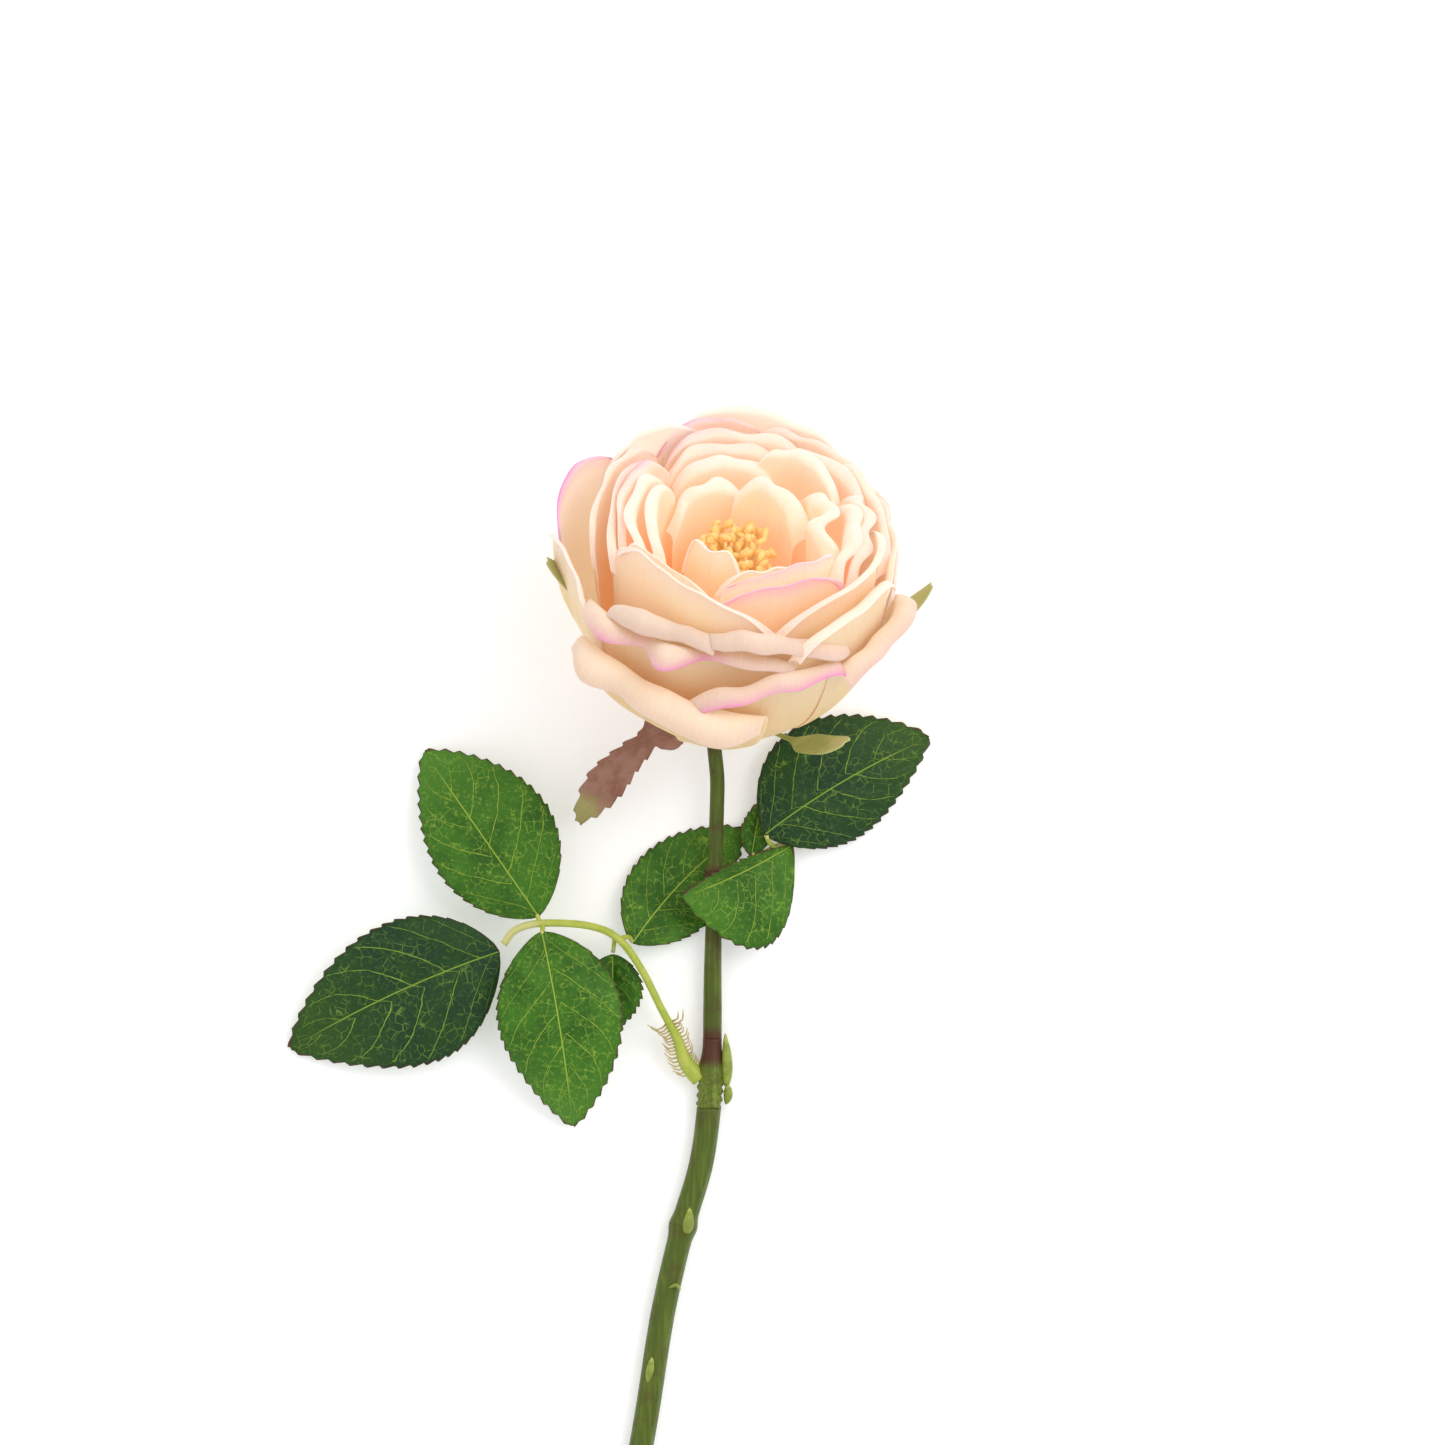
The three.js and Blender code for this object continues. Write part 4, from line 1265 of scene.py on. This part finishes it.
@dataclass
class Stem:
    """The jointed stem: a bent neck, a swollen node, a ringed sleeve with a bud, and a lower joint."""

    radius: float = 3.1
    neck_gap: float = 0.3
    upper_node: float = -43.5
    sleeve_top: float = -91.0
    sleeve_foot: float = -111.0
    lower_joint: float = -145.0
    end: float = -261.0
    neck_radius: float = 2.1
    bend_length: float = 10.0
    sides: int = 28
    samples: int = 400
    kept_stops: int = 14

    def stops(self) -> tuple[Point, ...]:
        """The points that the stem's middle passes through."""
        neck, bend = along_axis(
            (-HIP_LENGTH - self.neck_gap, -HIP_LENGTH - self.neck_gap - self.bend_length)
        )
        underside = (
            (-1.5, -16, 5.3),
            (-2.2, -43, 4.9),
            (-2.8, -70, 2.3),
            (-3.2, -100, 1.3),
            (-5.8, -125, 1.0),
            (-11.4, -145, 1.0),
            (-17.2, -170, 1.0),
            (-22, -200, 1.0),
            (-27.5, -230, 1.0),
            (-34, self.end, 1.0),
        )
        return (neck, bend, *((x, y, z + self.radius) for x, y, z in underside))

    def part_route(self, top: Optional[float], foot: float) -> Route:
        """The stem's middle between two places along Y."""
        line = Route(self.stops()).places(np.linspace(0, 1, self.samples))
        down = -line[:, 1]
        start = down[0] if top is None else -top
        inside = line[(down > start) & (down < -foot)]
        ends = [[np.interp(place, down, line[:, i]) for i in range(3)] for place in (start, -foot)]
        picks = np.linspace(0, len(inside) - 1, self.kept_stops).astype(int)[1:-1]
        return Route((tuple(ends[0]), *(tuple(inside[i]) for i in picks), tuple(ends[1])))

    @staticmethod
    def seam(angle: Array, height: float) -> Array:
        """The mould line that runs along the stem."""
        return height * hump(np.sin(angle / 2 + 0.3), 0.0, 0.06)

    def upper_radius(self, angle: Array, y: Array) -> Array:
        """The upper length's radius, with its swollen node."""
        node = 0.8 * hump(y, self.upper_node, 2.6) + 0.35 * hump(y, self.upper_node + 1.2, 0.5)
        return self.neck_radius + 0.6 * smooth(y, -38, -88) + node + self.seam(angle, 0.12)

    def sleeve_radius(self, angle: Array, y: Array) -> Array:
        """The sleeve's radius, with its uneven rings."""
        rings = np.cos(2 * math.pi * (y + 0.4 * np.sin(3 * angle)) / 2.4) * smooth(y, -98, -101)
        lobes = np.sin(2 * angle + y / 3) * smooth(y, -97, -101)
        collar = 0.5 * smooth(y, -94, -101) * smooth(y, -112.5, -109)
        return 2.75 + 0.45 * smooth(y, -92, -99) + collar + 0.34 * rings + 0.1 * lobes

    def lower_radius(self, angle: Array, y: Array) -> Array:
        """The two lower lengths' radius, with the swelling at their joint."""
        joint = 0.7 * hump(y, self.lower_joint, 2.4)
        return self.radius + 0.4 + joint + self.seam(angle, 0.14) + 0.05 * np.sin(7 * angle)

    def stain(self, part: StemPart, y: Array) -> Array:
        """How brown or maroon a part is at places along Y, from 0 to 1."""
        if part is StemPart.UPPER:
            return 0.8 * hump(y, self.upper_node, 2.2) + smooth(y, -85, -91.5)
        if part is StemPart.SLEEVE:
            return 1 - smooth(y, -96, -101)
        return 0.35 * hump(y, self.lower_joint, 1.6)

    def build_part(
        self, part: StemPart, ends: tuple[Optional[float], float], radius: Radius, finish: Material
    ) -> None:
        """Makes one length of the stem.

        Args:
            part: Which length, named as its CAD node.
            ends: Where it starts and ends along Y. None stands for the neck.
            radius: Gives the radius for an angle and a place along Y.
            finish: Its material.
        """
        route = self.part_route(*ends)
        maker = Maker("along", "angle", "band")
        steps = max(24, int(abs(route.stops[0][1] - ends[1]) * 1.6))
        maker.tube(route, lambda angle, v: radius(angle, route.places(v)[:, 1]), self.sides, steps)
        for vertex in maker.mesh.verts:
            place = np.array([vertex.co.y / MM - SHIFT[1]])
            vertex[maker.qualities["band"]] = float(self.stain(part, place)[0])
        slot = Slot.SLEEVE if part is StemPart.SLEEVE else Slot.STEM
        maker.finish(f"{part.value}_skin", [finish], slot, part.value)

    def build(self) -> None:
        """Makes the four lengths of the stem and the marks on it."""
        green = StemFinish("polythene_stem", "#46560F", "#58661A", "#4E2A16").material()
        lower = StemFinish("polythene_lower_stem", "#4A5C10", "#5E6E20", "#50401A").material()
        sleeve = StemFinish("polythene_sleeve", "#55661A", "#74862E", "#4E2A16", 0.4).material()
        top, foot, joint = self.sleeve_top, self.sleeve_foot, self.lower_joint
        self.build_part(StemPart.UPPER, (None, top), self.upper_radius, green)
        self.build_part(StemPart.SLEEVE, (top, foot), self.sleeve_radius, sleeve)
        self.build_part(StemPart.MIDDLE, (foot, joint), self.lower_radius, lower)
        self.build_part(StemPart.LOWER, (joint, self.end), self.lower_radius, lower)
        self.build_buds()

    def build_buds(self) -> None:
        """Makes the spear-shaped buds, the small hook and the bump that stand on the stem."""
        lime = PlainFinish("polythene_bud", "#8FA040", "#7C8C34", "#A9B45A", 3.0, 0.05, 0.45)
        maker = Maker("along", "angle")
        buds = (
            (((1.0, -105, 5.0), (1.3, -98, 5.6), (0.8, -89.5, 5.4)), 1.5, 0.35),
            (((1.0, -110, 4.6), (1.6, -107.5, 5.2), (1.5, -104, 5.2)), 1.2, 0.5),
            (((-10.6, -147, 6.6), (-9.8, -143.5, 7.6), (-9.4, -139.5, 7.4)), 1.6, 0.3),
            (((-15.4, -162.6, 7.6), (-13.4, -161.8, 8.2), (-12.0, -163.2, 7.8)), 0.45, 0.5),
            (((-21.6, -190, 7.2), (-20.8, -186, 7.9), (-20.2, -182.6, 7.4)), 1.0, 0.5),
        )
        for stops, thickness, peak in buds:
            power = skew(peak)

            def radius(angle: Array, v: Array) -> Array:
                return 0.12 + thickness * np.sin(math.pi * np.clip(v, 0, 1) ** power) ** 0.7

            maker.tube(stops, radius, 12, 18)
        maker.finish("stem_buds", [lime.material()], Slot.STEM)


@dataclass
class Petioles:
    """The stalks of the two sprays, with the fringed stipule at the left one's foot."""

    left: tuple[Point, ...] = (
        (-6.6, -102.6, 4.3),
        (-8.6, -100.4, 4.6),
        (-11.0, -96.8, 5.2),
        (-13.2, -90.5, 7),
        (-17.2, -83, 9.5),
        (-23.5, -70.5, 12),
        (-30, -62, 13.5),
        (-38.5, -58.3, 14),
        (-52, -57.6, 13.5),
        (-59.5, -59.6, 12.5),
        (-62.8, -63.6, 11.8),
    )
    left_stalks: tuple[tuple[Point, ...], ...] = (
        ((-38.0, -58.3, 14.0), (-31.5, -60.5, 12.0), (-31.4, -66.0, 9.6)),
        ((-29.5, -62.0, 13.2), (-27.0, -61.6, 10.5), (-26.0, -63.0, 8.6)),
        ((-52.2, -57.6, 13.5), (-52.8, -56.4, 13.4), (-53.2, -55.0, 13.4)),
        ((-51.6, -57.8, 13.8), (-51.6, -59.4, 15.0), (-51.8, -60.6, 15.8)),
    )
    right: tuple[Point, ...] = (
        (2.2, -44.6, 5.4),
        (7, -42, 2.8),
        (12, -38, 2.3),
        (18, -34.8, 3.4),
    )
    right_stalks: tuple[tuple[Point, ...], ...] = (
        ((10.5, -39.6, 2.6), (9.5, -38.8, 3.6), (8.6, -37.6, 4.4)),
        ((15.5, -36.2, 3.2), (13.5, -34.6, 5.6), (12.6, -32.4, 7.4)),
    )
    radius: float = 1.1
    teeth: int = 16
    tooth_radius: float = 0.42
    long_teeth: int = 2

    def build(self) -> None:
        """Makes both stalks."""
        finish = PlainFinish("polythene_petiole", "#B6BE50", "#A2B43C", "#CDCB84", 4.0, 0.05, 0.45)
        made = finish.material()
        maker = Maker("along", "angle")
        maker.tube(self.left, lambda angle, v: self.radius + 1.5 * hump(v, 0.0, 0.13), 14, 90)
        for stalk in self.left_stalks:
            maker.tube(stalk, lambda angle, v: 0.8 - 0.2 * v, 8, 8)
        maker.finish("left_petiole_skin", [made], Slot.PETIOLE, "left_petiole")
        self.build_fringe()
        maker = Maker("along", "angle")
        maker.tube(self.right, lambda angle, v: self.radius + 0.5 * hump(v, 0.0, 0.15), 12, 30)
        for stalk in self.right_stalks:
            maker.tube(stalk, lambda angle, v: np.full_like(v, 0.7), 8, 6)
        maker.finish("right_rachis_skin", [made], Slot.PETIOLE, "right_rachis")

    def build_fringe(self) -> None:
        """Makes the stipule's soft teeth, along both sides of the left petiole's foot."""
        straw = PlainFinish("polythene_fibre", "#C4B084", "#B09C68", "#D2C498", 4.0, 0.05, 0.6)
        maker = Maker("along", "angle")
        route = Route(self.left)
        random = np.random.default_rng(SEED + 7)
        for side in (-1.0, 1.0):
            for i in range(self.teeth):
                share = np.array([0.04 + 0.2 * i / self.teeth])
                way, across, up = (direction[0] for direction in route.directions(share))
                length = (3.8 if side < 0 else 2.8) * random.uniform(0.7, 1.1)
                if i >= self.teeth - self.long_teeth:
                    length *= 1.5
                start = route.places(share)[0] + side * 0.9 * across
                bend = start + side * 0.6 * length * across + 0.15 * length * up
                end = start + side * length * across + 0.6 * length * way + 0.1 * length * up
                maker.tube((start, bend, end), lambda angle, v: self.tooth_radius - 0.26 * v, 6, 4)
        maker.finish("left_stipule_fringe", [straw.material()], Slot.PETIOLE)


# ---- the studio ----


@dataclass
class Studio:
    """A pale table, soft light, and a camera straight above."""

    camera_height: float = 2.43
    view_width: float = 0.4118
    focus_height: float = 0.03

    def build(self) -> None:
        """Makes the floor, the lights and the camera."""
        self.build_floor()
        self.build_lights()
        self.build_camera()

    def build_floor(self) -> None:
        """Makes the table top."""
        table = bmesh.new()
        bmesh.ops.create_grid(table, x_segments=2, y_segments=2, size=3.0)
        data = bpy.data.meshes.new("table_top")
        table.to_mesh(data)
        table.free()
        made = Surface("table_paper")
        grain = made.cloud(made.object_place, per_metre(2.5))
        paper = made.blend(grain, colour("#F6F6F6"), "#F0F0F0")
        lit = made.dress(Base_Color=paper, Roughness=0.9, Emission_Color=paper, Emission_Strength=0.32)
        data.materials.append(lit)
        floor = bpy.data.objects.new("table_top", data)
        bpy.context.scene.collection.objects.link(floor)

    def build_lights(self) -> None:
        """Makes a bright tent of light with a soft key from the upper right."""
        world = bpy.data.worlds.new("tent")
        world.use_nodes = True
        background = world.node_tree.nodes["Background"]
        background.inputs["Color"].default_value = (1.0, 1.0, 1.0, 1.0)
        background.inputs["Strength"].default_value = 0.8
        bpy.context.scene.world = world
        for name, place, size, power in (
            ("key", (0.9, 0.7, 1.5), 1.2, 13.0),
            ("fill", (-1.2, 0.2, 1.4), 1.6, 3.0),
        ):
            light = bpy.data.lights.new(name, "AREA")
            light.energy = power
            light.size = size
            lamp = bpy.data.objects.new(name, light)
            lamp.location = place
            lamp.rotation_euler = (-Vector(place)).to_track_quat("-Z", "Y").to_euler()
            bpy.context.scene.collection.objects.link(lamp)

    def build_camera(self) -> None:
        """Makes the camera, which looks straight down."""
        data = bpy.data.cameras.new("camera")
        data.sensor_width = 36.0
        data.lens = data.sensor_width * (self.camera_height - self.focus_height) / self.view_width
        data.clip_end = 20.0
        camera = bpy.data.objects.new("camera", data)
        centre = placed(np.zeros(3))
        camera.location = (centre[0], centre[1], self.camera_height)
        bpy.context.scene.collection.objects.link(camera)
        bpy.context.scene.camera = camera
        bpy.context.scene.view_settings.view_transform = "Standard"


def main() -> None:
    """Builds the rose and its studio."""
    logging.basicConfig(level=logging.INFO, format="%(name)s %(message)s")
    Studio().build()
    PetalWhorls().build()
    Stamens().build()
    Calyx().build()
    Stem().build()
    Petioles().build()
    Foliage().build()


if __name__ == "__main__":
    main()
